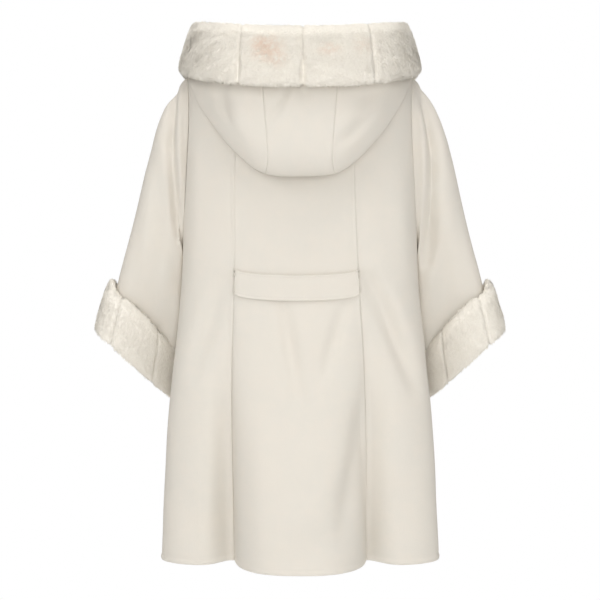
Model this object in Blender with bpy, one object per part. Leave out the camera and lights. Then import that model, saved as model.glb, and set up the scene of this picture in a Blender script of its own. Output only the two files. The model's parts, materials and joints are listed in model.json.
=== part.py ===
"""Hooded cape coat with a fur-trimmed hood and turned-back fur cuffs, in metres.

The coat is filled out as it is worn, and hollow. Its back faces -Y, +X is its right side and
+Z is up. The origin is the middle of the neck at its base, where the shoulders carry the coat.

Every cloth piece is a wall made from one surface: a function gives the outer point at a place
across and down the piece, and the inner face is the same surface moved in by the cloth.
"""
import math

import bmesh
import bpy
import numpy as np

# Finishes: colour and roughness
WOOL = ((0.77, 0.72, 0.63), 0.85)
FUR = ((0.78, 0.72, 0.64), 0.95)

# Cloth and seams
WALL = 0.002
SEAM_GAP = 0.0003
LAYER_GAP = 0.0008
NORMAL_STEP = 0.002
CREASE_ANGLE = math.radians(45)

# The two sides, by the sign of X
SIDES = ((-1, "left"), (1, "right"))

# Neck, shoulders and hem
NECK_HALF_WIDTH = 0.075
NECK_BACK = 0.058
NECK_FRONT = 0.066
NECK_DROP = 0.072
SHOULDER_TIP = 0.198
SHOULDER_SLOPE = 0.38
SHOULDER_SEAM_Y = -0.004
SHOULDER_ROUND = 0.07
SHOULDER_ROWS = 0.18
HEM_HEIGHT = -0.903

# Armholes
ARMHOLE_BOTTOM = -0.371
ARMHOLE_HALF_DEPTH = 0.058
ARMHOLE_SQUARENESS = 2.3

# Sleeves: how far down the armhole still shapes them, and the stretch that carries the cuff
SLEEVE_FIT = 0.3
SLEEVE_ROWS = 10
CUFF_FROM = 0.86

# Body
BODY_SQUARENESS = 2.8
BULGE_SQUARENESS = 2.5
VALLEY_WIDTH = 0.036
EVEN_SPACING = 0.15
SIDE_SEAM_Y = 0.028
FRONT_LAP = 0.030
LAP_EASE = 0.016
LAP_START = 0.024
LAP_DROP = 0.0055
COLUMN_SPREAD = 0.25
BACK_COLUMNS = 12
SIDE_COLUMNS = 6
FRONT_COLUMNS = 10
ARMHOLE_STEPS = 10
SKIRT_ROWS = 9

# Hood
NECK_SEAM = 0.0014
NECK_ROLL = 0.011
HOOD_CLEAR = 0.005
FRONT_CLEAR = 0.006
RIDGE_CLEAR = 0.010
ROLL_AT = 0.14
LIES_AT = (0.45, 0.86)
POUCH_AT = 0.84
HOOD_SEAM_STATION = 0.95
HOOD_ROWS = 24
FUR_SEAT = 0.0008
FREE_BELOW_FUR = 0.006

# Fur and half belt: the hood's fur seams by their distance to the right, the cuffs' in degrees
HOOD_FUR = 0.024
CUFF_FUR = 0.021
CUFF_HEIGHT = 0.102
FUR_SQUARENESS = 3.2
FUR_ROUND = 0.010
FUR_SEAMS = (-0.101, 0.005, 0.121)
CUFF_SEAMS = (45, 108, 240, 405)
SECTION_POINTS = 10
CUFF_OVER = 0.008
CUFF_SEAT = -0.0007
CUFF_FLARE = 0.006
CUFF_DIP = 0.012
CUFF_DIP_AT = 35
CUFF_DIP_WIDTH = 22
BELT_MIDDLE = -0.4055
BELT_HEIGHT = 0.044
BELT_LIFT = 0.002
BELT_THICKNESS = 0.005
BELT_SAG = 0.011
BELT_END = 0.02
BELT_SQUARENESS = 5.0
BELT_POINTS = 8


class Table:
    """A short table with named columns, read between its rows along a smooth curve."""

    def __init__(self, columns, rows):
        self.columns = columns.split()
        numbers = np.array(rows, float)
        self.keys = numbers[:, 0]
        self.values = numbers[:, 1:]
        self.slopes = np.gradient(self.values, self.keys, axis=0)

    def row(self, key):
        key = min(max(key, self.keys[0]), self.keys[-1])
        low = min(int(np.searchsorted(self.keys, key, side="right")) - 1, len(self.keys) - 2)
        span = self.keys[low + 1] - self.keys[low]
        part = (key - self.keys[low]) / span
        start = (1 + 2 * part) * (1 - part) ** 2
        end = part * part * (3 - 2 * part)
        leave = part * (1 - part) ** 2 * span
        arrive = part * part * (part - 1) * span
        return (start * self.values[low] + end * self.values[low + 1]
                + leave * self.slopes[low] + arrive * self.slopes[low + 1])

    def at(self, key):
        return dict(zip(self.columns[1:], self.row(key)))


# The body's level sections, from the hem up: half its width, its depth behind and before its
# own middle, where that middle lies, and how far the back's centre panel stands out between
# the two long seams that lie in valleys
BODY = Table(
    "height   half   back   front  middle  bulge  valley seam_l  seam_r", (
    (-0.903, 0.2485, 0.076, 0.178, -0.030, 0.056, 0.0440, -0.116, 0.117),
    (-0.800, 0.2435, 0.080, 0.172, -0.028, 0.044, 0.0350, -0.117, 0.116),
    (-0.680, 0.2375, 0.086, 0.166, -0.025, 0.028, 0.0230, -0.118, 0.115),
    (-0.590, 0.2290, 0.092, 0.160, -0.021, 0.015, 0.0130, -0.118, 0.112),
    (-0.500, 0.2185, 0.096, 0.154, -0.016, 0.007, 0.0070, -0.116, 0.108),
    (-0.410, 0.2105, 0.100, 0.148, -0.010, 0.002, 0.0030, -0.113, 0.102),
    (-0.300, 0.2065, 0.109, 0.142, -0.004, 0.001, 0.0015, -0.112, 0.097),
    (-0.200, 0.2040, 0.114, 0.134, -0.001, 0.000, 0.0010, -0.110, 0.093),
    (-0.120, 0.2015, 0.111, 0.120, 0.000, 0.000, 0.0010, -0.108, 0.090),
    (-0.050, 0.1990, 0.104, 0.106, 0.000, 0.000, 0.0000, -0.106, 0.088),
    (0.020, 0.1980, 0.100, 0.100, 0.000, 0.000, 0.0000, -0.105, 0.087),
))

# The right sleeve's rings, from the armhole to its end: the outer point, the under point and
# half its depth between them
SLEEVE = Table(
    "along  outer_x outer_y outer_z  under_x under_y under_z  half_depth", (
    (0.00, 0.1980, -0.004, -0.047, 0.2070, 0.028, -0.371, 0.058),
    (0.10, 0.2230, -0.006, -0.072, 0.2145, 0.036, -0.388, 0.058),
    (0.22, 0.2480, -0.005, -0.122, 0.2155, 0.040, -0.408, 0.056),
    (0.38, 0.2670, 0.000, -0.184, 0.2160, 0.045, -0.440, 0.052),
    (0.55, 0.2875, 0.005, -0.264, 0.2180, 0.050, -0.478, 0.049),
    (0.72, 0.3085, 0.010, -0.342, 0.2240, 0.067, -0.520, 0.047),
    (0.84, 0.3255, 0.014, -0.402, 0.2315, 0.085, -0.563, 0.046),
    (1.00, 0.3500, 0.018, -0.499, 0.2400, 0.102, -0.632, 0.045),
))

# The hood and its fur band from the middle of the back to the front: the angle round the neck,
# the lowest fold of the pouch, how far the pouch stands off the coat and how full it is, how
# far the cloth wraps the shoulder before it rises and the arch in which it rises, and the
# lower and the upper end of the fur's middle
HOOD_COLUMNS = "station neck fold_x fold_z stand pouch wrap arch low_x low_y low_z top_x top_y top_z"
HOOD_HALF = (
    (0, 0, 0.000, -0.226, 0.060, 1.0, 1, 0.000, 0.000, -0.195, -0.072, 0.000, -0.146, 0.015),
    (1, 26, 0.060, -0.220, 0.059, 1.0, 1, 0.000, 0.066, -0.191, -0.071, 0.064, -0.143, 0.016),
    (2, 48, 0.104, -0.190, 0.054, 1.0, 1, 0.000, 0.120, -0.173, -0.066, 0.112, -0.130, 0.020),
    (3, 66, 0.149, -0.138, 0.044, 0.9, 1, 0.000, 0.163, -0.134, -0.057, 0.150, -0.100, 0.026),
    (4, 80, 0.181, -0.086, 0.026, 0.5, 1, 0.000, 0.193, -0.077, -0.045, 0.175, -0.055, 0.032),
    (5, 91, 0.184, -0.041, 0.014, 0.0, 1, 0.010, 0.205, -0.008, -0.033, 0.184, 0.000, 0.036),
    (6, 112, 0.158, -0.050, 0.016, 0.0, 0, 0.012, 0.188, 0.062, -0.052, 0.166, 0.048, 0.020),
    (7, 140, 0.082, -0.064, 0.016, 0.0, 0, 0.018, 0.117, 0.134, -0.079, 0.101, 0.099, -0.004),
    (8, 176, 0.009, -0.077, 0.016, 0.0, 0, 0.008, 0.007, 0.138, -0.105, 0.006, 0.105, -0.013),
)
MIRRORED_COLUMNS = (0, 1, 2, 8, 11)
LOW_AND_TOP = slice(7, 13)
HOOD_END_STATION = 8
FUR_TURN_END = 7.9
STATION_STEP = 0.05
HOOD_COLUMN_STEP = 0.5
BEHIND_STATIONS = (-4, 4)
BEHIND_STEPS = 80


def mirrored(row):
    """Give the same row of the hood for the left side."""
    return tuple(-number if column in MIRRORED_COLUMNS else number
                 for column, number in enumerate(row))


HOOD = Table(HOOD_COLUMNS, [mirrored(row) for row in HOOD_HALF[:0:-1]] + list(HOOD_HALF))


def unit(vector):
    """Vector of length one with the same direction."""
    return vector / np.linalg.norm(vector)


def superellipse(angle, squareness):
    """Give the sideways and the deep part of a unit superellipse at an angle from its depth."""
    across, deep = math.sin(angle), math.cos(angle)
    reach = (abs(across) ** squareness + abs(deep) ** squareness) ** (-1 / squareness)
    return across * reach, deep * reach


def angle_across(part, squareness):
    """Give the angle at which a superellipse is a part of its half width to the side."""
    part = min(abs(part), 1.0)
    return math.atan2(part, (1 - part ** squareness) ** (1 / squareness))


def mix(first, second, part):
    return first + (second - first) * part


def shoulder_height(across):
    """Give the height of the shoulder seam at a distance from the middle."""
    return -SHOULDER_SLOPE * max(abs(across) - NECK_HALF_WIDTH, 0.0)


TIP_HEIGHT = shoulder_height(SHOULDER_TIP)
ARMHOLE_MIDDLE = (TIP_HEIGHT + ARMHOLE_BOTTOM) / 2
ARMHOLE_HALF_HEIGHT = (TIP_HEIGHT - ARMHOLE_BOTTOM) / 2


def drop(down, whole):
    """Give the depth below the top edge, and how far the shoulder has rounded over there."""
    if down < SHOULDER_ROWS:
        turn = math.pi / 2 * down / SHOULDER_ROWS
        return SHOULDER_ROUND * (1 - math.cos(turn)), math.sin(turn)
    return mix(SHOULDER_ROUND, whole, (down - SHOULDER_ROWS) / (1 - SHOULDER_ROWS)), 1.0


def rows_down(depth, whole):
    """Give the place down a panel that lies at a depth below its top edge."""
    if depth < SHOULDER_ROUND:
        return SHOULDER_ROWS * math.acos(1 - depth / SHOULDER_ROUND) / (math.pi / 2)
    return mix(SHOULDER_ROWS, 1.0, (depth - SHOULDER_ROUND) / (whole - SHOULDER_ROUND))


def armhole_depth(height):
    """Give how far the armhole's edges lie before and behind its own middle at a height."""
    part = min(abs((height - ARMHOLE_MIDDLE) / ARMHOLE_HALF_HEIGHT), 1.0)
    return ARMHOLE_HALF_DEPTH * (1 - part ** ARMHOLE_SQUARENESS) ** (1 / ARMHOLE_SQUARENESS)


def side_seam(height):
    """Give the depth of the side's middle line: the shoulder tip, the underarm, the side seam."""
    part = (TIP_HEIGHT - height) / (TIP_HEIGHT - ARMHOLE_BOTTOM)
    return mix(SHOULDER_SEAM_Y, SIDE_SEAM_Y, min(max(part, 0.0), 1.0))


def ring_angle(body, y):
    """Give the angle from the back at which the body's ring comes to a depth on its side."""
    off = (body["middle"] - y) / (body["back"] if y < body["middle"] else body["front"])
    turn = angle_across(off, BODY_SQUARENESS)
    return math.pi / 2 - turn if off > 0 else math.pi / 2 + turn


def ring_point(body, angle):
    """Give the half width and the depth of the body's ring at an angle from the back."""
    wide, deep = superellipse(angle, BODY_SQUARENESS)
    return body["half"] * wide, body["middle"] - deep * (body["back"] if deep > 0 else body["front"])


def below_shoulder(depth):
    """Give how far a panel's columns have spread from the shoulder's spacing to an even one."""
    part = min(max((depth - SHOULDER_ROUND) / COLUMN_SPREAD, 0.0), 1.0)
    return part * part * (3 - 2 * part)


def neck_edge(across):
    """Give how far the neckline reaches back or forward, as a part of its full reach."""
    part = min(abs(across) / NECK_HALF_WIDTH, 1.0)
    return math.sqrt(1 - part * part)


def neckline_height(reach):
    """Give the height of the front neckline where it reaches forward by a part of its full reach."""
    return -NECK_DROP * reach * reach


def back_centre(across, down):
    """Surface of the back's centre panel, between its two long seams."""
    top = BODY.at(0.0)
    side, out = superellipse(math.pi * (across - 0.5), BULGE_SQUARENESS)
    side = mix(side, 2 * across - 1, EVEN_SPACING)
    middle, half = (top["seam_l"] + top["seam_r"]) / 2, (top["seam_r"] - top["seam_l"]) / 2
    top_x = middle + half * side
    top_z = shoulder_height(top_x)
    depth, rounded = drop(down, top_z - HEM_HEIGHT)
    body = BODY.at(top_z - depth)
    middle, half = (body["seam_l"] + body["seam_r"]) / 2, (body["seam_r"] - body["seam_l"]) / 2
    x = mix(top_x, middle + half * side, rounded)
    full = ring_point(body, angle_across(x / body["half"], BODY_SQUARENESS))[1]
    full -= mix(-body["valley"], body["bulge"], out)
    start = mix(SHOULDER_SEAM_Y, -NECK_BACK, neck_edge(top_x))
    return np.array((x, mix(start, full, rounded), top_z - depth))


def back_side(side, across, down):
    """Surface of a back side panel, from the long seam to the armhole and the side seam."""
    seam = "seam_r" if side > 0 else "seam_l"
    top_x = mix(abs(BODY.at(0.0)[seam]), SHOULDER_TIP, across)
    top_z = shoulder_height(top_x)
    depth, rounded = drop(down, top_z - HEM_HEIGHT)
    height = top_z - depth
    body = BODY.at(height)
    first = angle_across(body[seam] / body["half"], BODY_SQUARENESS)
    last = ring_angle(body, side_seam(height) - armhole_depth(height))
    level_x = mix(abs(body[seam]), ring_point(body, last)[0], across)
    straight = angle_across(level_x / body["half"], BODY_SQUARENESS) if across < 1 else last
    wide, full = ring_point(body, mix(straight, mix(first, last, across), below_shoulder(depth)))
    x = mix(top_x, wide, rounded)
    off_seam = (x - abs(body[seam])) / VALLEY_WIDTH
    full += body["valley"] * math.exp(-off_seam * off_seam)
    return np.array((side * x, mix(SHOULDER_SEAM_Y, full, rounded), height))


def front_top(across):
    """Top edge of a front: along the shoulder seam, then round the neckline to the middle."""
    if across < 0.5:
        x = mix(SHOULDER_TIP, NECK_HALF_WIDTH, across * 2)
        return x, SHOULDER_SEAM_Y, shoulder_height(x)
    turn = (math.pi / 2 + math.asin(FRONT_LAP / NECK_HALF_WIDTH)) * (across * 2 - 1)
    reach = math.sin(turn)
    return NECK_HALF_WIDTH * math.cos(turn), mix(SHOULDER_SEAM_Y, NECK_FRONT, reach), neckline_height(reach)


def front(side, across, down):
    """Surface of a front, from the armhole and the side seam to past the middle."""
    top_x, top_y, top_z = front_top(across)
    depth, rounded = drop(down, top_z - HEM_HEIGHT)
    height = top_z - depth
    body = BODY.at(height)
    first = ring_angle(body, side_seam(height) + armhole_depth(height))
    at_neck = math.pi - angle_across(NECK_HALF_WIDTH / body["half"], BODY_SQUARENESS)
    if across < 0.5:
        even = mix(first, at_neck, across * 2)
        level_x = mix(ring_point(body, first)[0], NECK_HALF_WIDTH, across * 2)
    else:
        even = mix(at_neck, math.pi + math.atan(FRONT_LAP / body["half"]), across * 2 - 1)
        level_x = top_x
    straight = angle_across(level_x / body["half"], BODY_SQUARENESS)
    straight = math.pi - math.copysign(straight, level_x) if across > 0 else first
    wide, full = ring_point(body, mix(straight, even, below_shoulder(depth)))
    x = mix(top_x, wide, rounded)
    point = np.array((side * x, mix(top_y, full, rounded), height))
    if side > 0:
        return point
    under = min(max((FRONT_LAP + LAP_START - x) / LAP_EASE, 0.0), 1.0)
    sunk = LAP_DROP * under * under * (3 - 2 * under)
    return point - sunk * np.array((0.0, rounded, math.sqrt(max(1 - rounded * rounded, 0.0))))


def armhole(side, turn):
    """Point of the armhole's edge: 0 at the shoulder tip, then down the back and up the front."""
    height = ARMHOLE_MIDDLE + ARMHOLE_HALF_HEIGHT * math.cos(turn)
    down = rows_down(TIP_HEIGHT - height, TIP_HEIGHT - HEM_HEIGHT)
    if math.sin(turn) >= 0:
        return back_side(side, 1.0, down)
    return front(side, 0.0, down)


def sleeve_ring(side, turn, along):
    """Point of a sleeve's ring by the table alone."""
    ring = SLEEVE.row(along)
    outer, under, half_depth = ring[0:3], ring[3:6], ring[6]
    point = (outer + under) / 2 + (outer - under) / 2 * math.cos(turn)
    point[1] -= half_depth * math.sin(turn)
    return point * np.array((side, 1.0, 1.0))


def sleeve(side, turn, along):
    """Surface of a sleeve, whose first ring is the armhole's edge itself."""
    point = sleeve_ring(side, turn, along)
    fit = max(1 - along / SLEEVE_FIT, 0.0) ** 2
    if fit > 0:
        point = point + (armhole(side, turn) - sleeve_ring(side, turn, 0.0)) * fit
    return point


def coat_under(x, z, before):
    """Point of the coat's back, or of its front, at a place seen from behind, and its normal."""
    neck = neck_edge(x)
    top_z = neckline_height(neck) if before and neck > 0 else shoulder_height(x)
    top_y = mix(SHOULDER_SEAM_Y, NECK_FRONT if before else -NECK_BACK, neck)
    turn = math.acos(1 - min(max(top_z - z, 0.0), SHOULDER_ROUND) / SHOULDER_ROUND)
    body = BODY.at(z)
    angle = angle_across(x / body["half"], BODY_SQUARENESS)
    full = ring_point(body, math.pi - angle if before else angle)[1]
    rounded, level = math.sin(turn), math.cos(turn)
    slope = SHOULDER_SLOPE * level * math.copysign(1.0, x) if neck == 0 else 0.0
    return (np.array((x, mix(top_y, full, rounded), z)),
            unit(np.array((slope, rounded if before else -rounded, level))))


def front_height(x, y):
    """Give the height that just clears the coat's front at a place beside or before the neck."""
    neck = neck_edge(x)
    top_y = mix(SHOULDER_SEAM_Y, NECK_FRONT, neck)
    top_z = neckline_height(neck) if neck > 0 else shoulder_height(x)
    body = BODY.at(top_z - SHOULDER_ROUND / 2)
    full = ring_point(body, math.pi - angle_across(x / body["half"], BODY_SQUARENESS))[1]
    out = max(y - top_y, 0.0) / (full + FRONT_CLEAR - top_y)
    if out > 1:
        return HEM_HEIGHT
    return top_z + FRONT_CLEAR - SHOULDER_ROUND * (1 - math.sqrt(1 - out * out))


def fur_frame(station):
    """Lower and upper end of the hood fur's middle at a station, and the way it faces."""
    near = min(max(station, -FUR_TURN_END), FUR_TURN_END)
    ahead = HOOD.row(near + STATION_STEP)[LOW_AND_TOP]
    behind = HOOD.row(near - STATION_STEP)[LOW_AND_TOP]
    low, top = np.split(HOOD.row(station)[LOW_AND_TOP], 2)
    way = sum(np.split(ahead - behind, 2))
    return low, top, unit(np.cross(way, top - low))


def hood_path(station):
    """Points that a hood piece passes at a station, from the neckline to the fur's upper edge."""
    row = HOOD.at(station)
    neck = math.radians(row["neck"])
    before = abs(row["neck"]) > 90
    reach = abs(math.cos(neck))
    neck_x = NECK_HALF_WIDTH * math.sin(neck)
    neck_z = neckline_height(reach) if before else 0.0
    low, top, facing = fur_frame(station)
    behind_fur = facing * (HOOD_FUR / 2 + FUR_SEAT)

    def off_coat(part, away):
        x, z = mix(neck_x, row["fold_x"], part), mix(neck_z, row["fold_z"], part)
        point, normal = coat_under(x, z, before)
        return point + normal * away

    fold = off_coat(1.0, row["stand"] / 2)
    low_in, top_in = low - behind_fur - facing * FREE_BELOW_FUR, top - behind_fur
    middle_in = mix(low - behind_fur, top_in, 0.5) - facing * FREE_BELOW_FUR / 4
    outer = mix(mix(fold, low_in, 0.5), off_coat(POUCH_AT, row["stand"]), row["pouch"])
    first = off_coat(0.0, NECK_SEAM)
    lying = [off_coat(part, HOOD_CLEAR) for part in LIES_AT]
    wrapped = np.array((first, off_coat(ROLL_AT, NECK_ROLL), *lying, fold, outer, low_in, middle_in))
    parts = np.linspace(0, 1, len(wrapped))
    rising = np.array([mix(first, middle_in, part) for part in parts])
    rising[:, 2] += row["arch"] * np.sin(math.pi * parts)
    rising[1] = mix(first, rising[1], 0.5) + np.array((0.0, 0.0, NECK_ROLL))
    path = np.vstack((mix(rising, wrapped, row["wrap"]), top_in))
    for point in path[1:] if before else ():
        for beside in (-RIDGE_CLEAR, 0.0, RIDGE_CLEAR):
            point[2] = max(point[2], front_height(point[0] + beside, point[1]))
    return path


def along_path(points, place):
    """Point at a place from 0 to 1 on a smooth curve through points."""
    place = place * (len(points) - 1)
    low = min(max(int(place), 0), len(points) - 2)
    part = place - low
    before = points[low - 1] if low > 0 else 2 * points[0] - points[1]
    after = points[low + 2] if low + 2 < len(points) else 2 * points[-1] - points[-2]
    start, end = points[low], points[low + 1]
    return (start + part * (end - before) / 2
            + part ** 2 * (before - 2.5 * start + 2 * end - after / 2)
            + part ** 3 * (1.5 * (start - end) + (after - before) / 2))


def hood(station, down):
    """Surface of the hood at a station, from the neckline to the fur's upper edge."""
    return along_path(hood_path(station), down)


def make_finish(name, look):
    """Make a piece's own plain material from a colour and a roughness."""
    colour, roughness = look
    finish = bpy.data.materials.new(name)
    finish.use_nodes = True
    shader = finish.node_tree.nodes["Principled BSDF"]
    shader.inputs["Base Color"].default_value = (*colour, 1.0)
    shader.inputs["Roughness"].default_value = roughness
    shader.inputs["Metallic"].default_value = 0.0
    return finish


def make_object(name, points, faces, look):
    """Make one closed mesh object from points and faces, with its faces pointing out."""
    mesh = bpy.data.meshes.new(name)
    mesh.from_pydata([tuple(point) for point in points], [], faces)
    work = bmesh.new()
    work.from_mesh(mesh)
    bmesh.ops.triangulate(work, faces=work.faces[:])
    bmesh.ops.recalc_face_normals(work, faces=work.faces[:])
    work.to_mesh(mesh)
    work.free()
    mesh.shade_smooth()
    mesh.set_sharp_from_angle(angle=CREASE_ANGLE)
    mesh.materials.append(make_finish(name, look))
    made = bpy.data.objects.new(name, mesh)
    bpy.context.scene.collection.objects.link(made)
    return made


def normal_at(surface, across, down, sign):
    """Give the outward normal of a surface from small steps on each side of a place."""
    wide = surface(across + NORMAL_STEP, down) - surface(across - NORMAL_STEP, down)
    long = surface(across, down + NORMAL_STEP) - surface(across, down - NORMAL_STEP)
    return sign * unit(np.cross(wide, long))


def pull_back(outer, inner, closed):
    """Draw the edges of a piece in by half a seam gap."""
    edges = [(np.s_[0, :], np.s_[1, :]), (np.s_[-1, :], np.s_[-2, :])]
    if not closed:
        edges += [(np.s_[:, 0], np.s_[:, 1]), (np.s_[:, -1], np.s_[:, -2])]
    for edge, next_in in edges:
        way = outer[next_in] - outer[edge]
        way = way / np.linalg.norm(way, axis=-1, keepdims=True) * SEAM_GAP / 2
        outer[edge] += way
        inner[edge] += way


def wall_faces(rows, columns, closed):
    """List the faces of a wall: its outer and its inner face, and the strips along its edges."""

    def at(row, column, layer):
        return (layer * rows + row) * columns + column % columns

    faces = []
    steps = columns if closed else columns - 1
    for column in range(steps):
        for row in range(rows - 1):
            for layer in (0, 1):
                faces.append((at(row, column, layer), at(row + 1, column, layer),
                              at(row + 1, column + 1, layer), at(row, column + 1, layer)))
        for row in (0, rows - 1):
            faces.append((at(row, column, 0), at(row, column, 1),
                          at(row, column + 1, 1), at(row, column + 1, 0)))
    if not closed:
        for row in range(rows - 1):
            for column in (0, columns - 1):
                faces.append((at(row, column, 0), at(row, column, 1),
                              at(row + 1, column, 1), at(row + 1, column, 0)))
    return faces


def make_wall(name, surface, across, down, sign, shared_normal=None, closed=False):
    """Make a cloth piece: a wall between a surface and the same surface moved in.

    A shared normal keeps two pieces equally thick where they meet at an angle. A closed wall
    joins its last column to its first.
    """
    outer = np.array([[surface(a, d) for a in across] for d in down])
    normals = np.array([[normal_at(surface, a, d, sign) for a in across] for d in down])
    if shared_normal:
        for row, d in enumerate(down):
            for column, a in enumerate(across):
                shared = shared_normal(a, d)
                if shared is not None:
                    normals[row, column] = shared
    inner = outer - WALL * normals
    pull_back(outer, inner, closed)
    points = np.concatenate((outer.reshape(-1, 3), inner.reshape(-1, 3)))
    return make_object(name, points, wall_faces(len(down), len(across), closed), WOOL)


def spaced(first, last, count):
    """Give the ends of a stretch and the evenly spaced places between them."""
    return [mix(first, last, k / count) for k in range(count + 1)]


def armhole_normal(side, turn):
    """Give the normal that a body panel and the sleeve share at a turn of the armhole."""
    height = ARMHOLE_MIDDLE + ARMHOLE_HALF_HEIGHT * math.cos(turn)
    down = rows_down(TIP_HEIGHT - height, TIP_HEIGHT - HEM_HEIGHT)
    if math.sin(turn) >= 0:
        body = normal_at(lambda a, d: back_side(side, a, d), 1 - NORMAL_STEP, down, -side)
    else:
        body = normal_at(lambda a, d: front(side, a, d), NORMAL_STEP, down, -side)
    arm = normal_at(lambda a, d: sleeve(side, a, d), turn, 2 * NORMAL_STEP, side)
    return unit(body + arm)


def armhole_edge(side, behind):
    """Give the function that tells a body panel's normal along the armhole, and nowhere else."""

    def shared(across, down):
        depth = drop(down, TIP_HEIGHT - HEM_HEIGHT)[0]
        if across != (1.0 if behind else 0.0) or depth > 2 * ARMHOLE_HALF_HEIGHT + SEAM_GAP:
            return None
        turn = math.acos(max(1 - depth / ARMHOLE_HALF_HEIGHT, -1.0))
        return armhole_normal(side, turn if behind else 2 * math.pi - turn)

    return shared


def body_rows():
    """Give the places down every body panel: first those of the armhole's own points."""
    depths = [ARMHOLE_HALF_HEIGHT * (1 - math.cos(turn)) for turn in spaced(0, math.pi, ARMHOLE_STEPS)]
    rows = [rows_down(depth, TIP_HEIGHT - HEM_HEIGHT) for depth in depths]
    return rows + spaced(rows[-1], 1, SKIRT_ROWS)[1:]


def make_body():
    """Make the back's centre panel, its two side panels and the two fronts."""
    rows = body_rows()
    make_wall("back_centre", back_centre, spaced(0, 1, BACK_COLUMNS), rows, -1)
    for side, word in SIDES:
        make_wall(f"back_side_{word}", lambda a, d: back_side(side, a, d),
                  spaced(0, 1, SIDE_COLUMNS), rows, -side, armhole_edge(side, True))
        make_wall(f"front_{word}", lambda a, d: front(side, a, d),
                  spaced(0, 1, FRONT_COLUMNS), rows, -side, armhole_edge(side, False))


def make_sleeves():
    """Make the two sleeves, each a closed tube from the armhole to its open end."""
    turns = spaced(0, 2 * math.pi, 2 * ARMHOLE_STEPS)[:-1]
    for side, word in SIDES:
        make_wall(f"sleeve_{word}", lambda a, d: sleeve(side, a, d), turns,
                  spaced(0, 1, SLEEVE_ROWS), side,
                  lambda turn, along: armhole_normal(side, turn) if along == 0 else None, True)


def make_strip(name, sections, look):
    """Make a solid strip from closed sections, with its two ends filled."""
    count = len(sections[0])
    points = np.concatenate(sections)
    faces = [tuple(range(count)), tuple(range(len(points) - count, len(points)))]
    for row in range(len(sections) - 1):
        for k in range(count):
            faces.append((row * count + k, row * count + (k + 1) % count,
                          (row + 1) * count + (k + 1) % count, (row + 1) * count + k))
    return make_object(name, points, faces, look)


def rounded_section(middle, long, thick, count, squareness):
    """Give the points round a rounded oblong from its middle and its two half axes."""
    section = []
    for k in range(count):
        lengthwise, through = superellipse(2 * math.pi * (k + 0.5) / count, squareness)
        section.append(middle + long * lengthwise + thick * through)
    return section


def end_gap(sections):
    """Draw the first and the last section of a strip in by a seam gap."""
    for end, next_in in ((0, 1), (-1, -2)):
        way = np.mean(sections[next_in], axis=0) - np.mean(sections[end], axis=0)
        way = unit(way) * SEAM_GAP
        sections[end] = [point + way for point in sections[end]]
    return sections


def places_between(first, last, step):
    """Give the ends of a piece and the whole multiples of a step between them, in order."""
    count = math.ceil((last - first) / step) + 1
    multiples = [(math.floor(first / step) + k) * step for k in range(count + 1)]
    return [first, *[k for k in multiples if first + step / 5 < k < last - step / 5], last]


def hood_fur_section(station):
    """Section of the hood's fur band at a station."""
    low, top, facing = fur_frame(station)
    long = (top - low) / 2
    long = long * (1 + FUR_ROUND / np.linalg.norm(long))
    return rounded_section((low + top) / 2, long, facing * HOOD_FUR / 2, SECTION_POINTS, FUR_SQUARENESS)


def station_across(x):
    """Give the station at which the fur's lower edge is a distance to the side of the middle."""
    stations = spaced(*BEHIND_STATIONS, BEHIND_STEPS)
    return float(np.interp(x, [HOOD.at(station)["low_x"] for station in stations], stations))


def make_hood():
    """Make the hood's centre panel and its two sides."""
    rows = spaced(0, 1, HOOD_ROWS)
    stations = places_between(-HOOD_SEAM_STATION, HOOD_SEAM_STATION, HOOD_COLUMN_STEP)
    make_wall("hood_centre", hood, stations, rows, 1)
    for side, word in SIDES:
        ends = sorted((side * HOOD_SEAM_STATION, side * HOOD_END_STATION))
        make_wall(f"hood_side_{word}", hood, places_between(*ends, HOOD_COLUMN_STEP), rows, 1)


def make_hood_fur():
    """Make the fur band round the hood's edge, one piece between each two seams."""
    edges = [-HOOD_END_STATION, *[station_across(x) for x in FUR_SEAMS], HOOD_END_STATION]
    for number, (first, last) in enumerate(zip(edges, edges[1:]), 1):
        stations = places_between(first, last, HOOD_COLUMN_STEP)
        sections = [hood_fur_section(station) for station in stations]
        make_strip(f"hood_fur_{number}", end_gap(sections), FUR)


def cuff_section(side, turn):
    """Section of a fur cuff at a turn round the sleeve, turned back over the sleeve's end."""
    off = math.degrees(math.atan2(math.sin(turn), math.cos(turn)))
    height = CUFF_HEIGHT - CUFF_DIP * math.exp(-((abs(off) - CUFF_DIP_AT) / CUFF_DIP_WIDTH) ** 2)
    end, start = sleeve(side, turn, 1.0), sleeve(side, turn, CUFF_FROM)
    way, stretch = unit(end - start), np.linalg.norm(end - start)
    middle = sleeve(side, turn, 1 - (height - CUFF_OVER) / 2 * (1 - CUFF_FROM) / stretch)
    normal = normal_at(lambda t, a: sleeve(side, t, a), turn, (1 + CUFF_FROM) / 2, side)
    middle = middle + way * CUFF_OVER / 2 + normal * (CUFF_FUR / 2 + CUFF_SEAT)
    flare = normal * CUFF_FLARE / 2
    return rounded_section(middle + flare, way * height / 2 + flare, normal * CUFF_FUR / 2,
                           SECTION_POINTS, FUR_SQUARENESS)


def make_cuffs():
    """Make the two fur cuffs, one piece between each two seams."""
    step = 180 // ARMHOLE_STEPS
    for side, word in SIDES:
        for number, (first, last) in enumerate(zip(CUFF_SEAMS, CUFF_SEAMS[1:]), 1):
            turns = [math.radians(turn) for turn in places_between(first, last, step)]
            sections = [cuff_section(side, turn) for turn in turns]
            make_strip(f"cuff_{word}_{number}", end_gap(sections), FUR)


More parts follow.
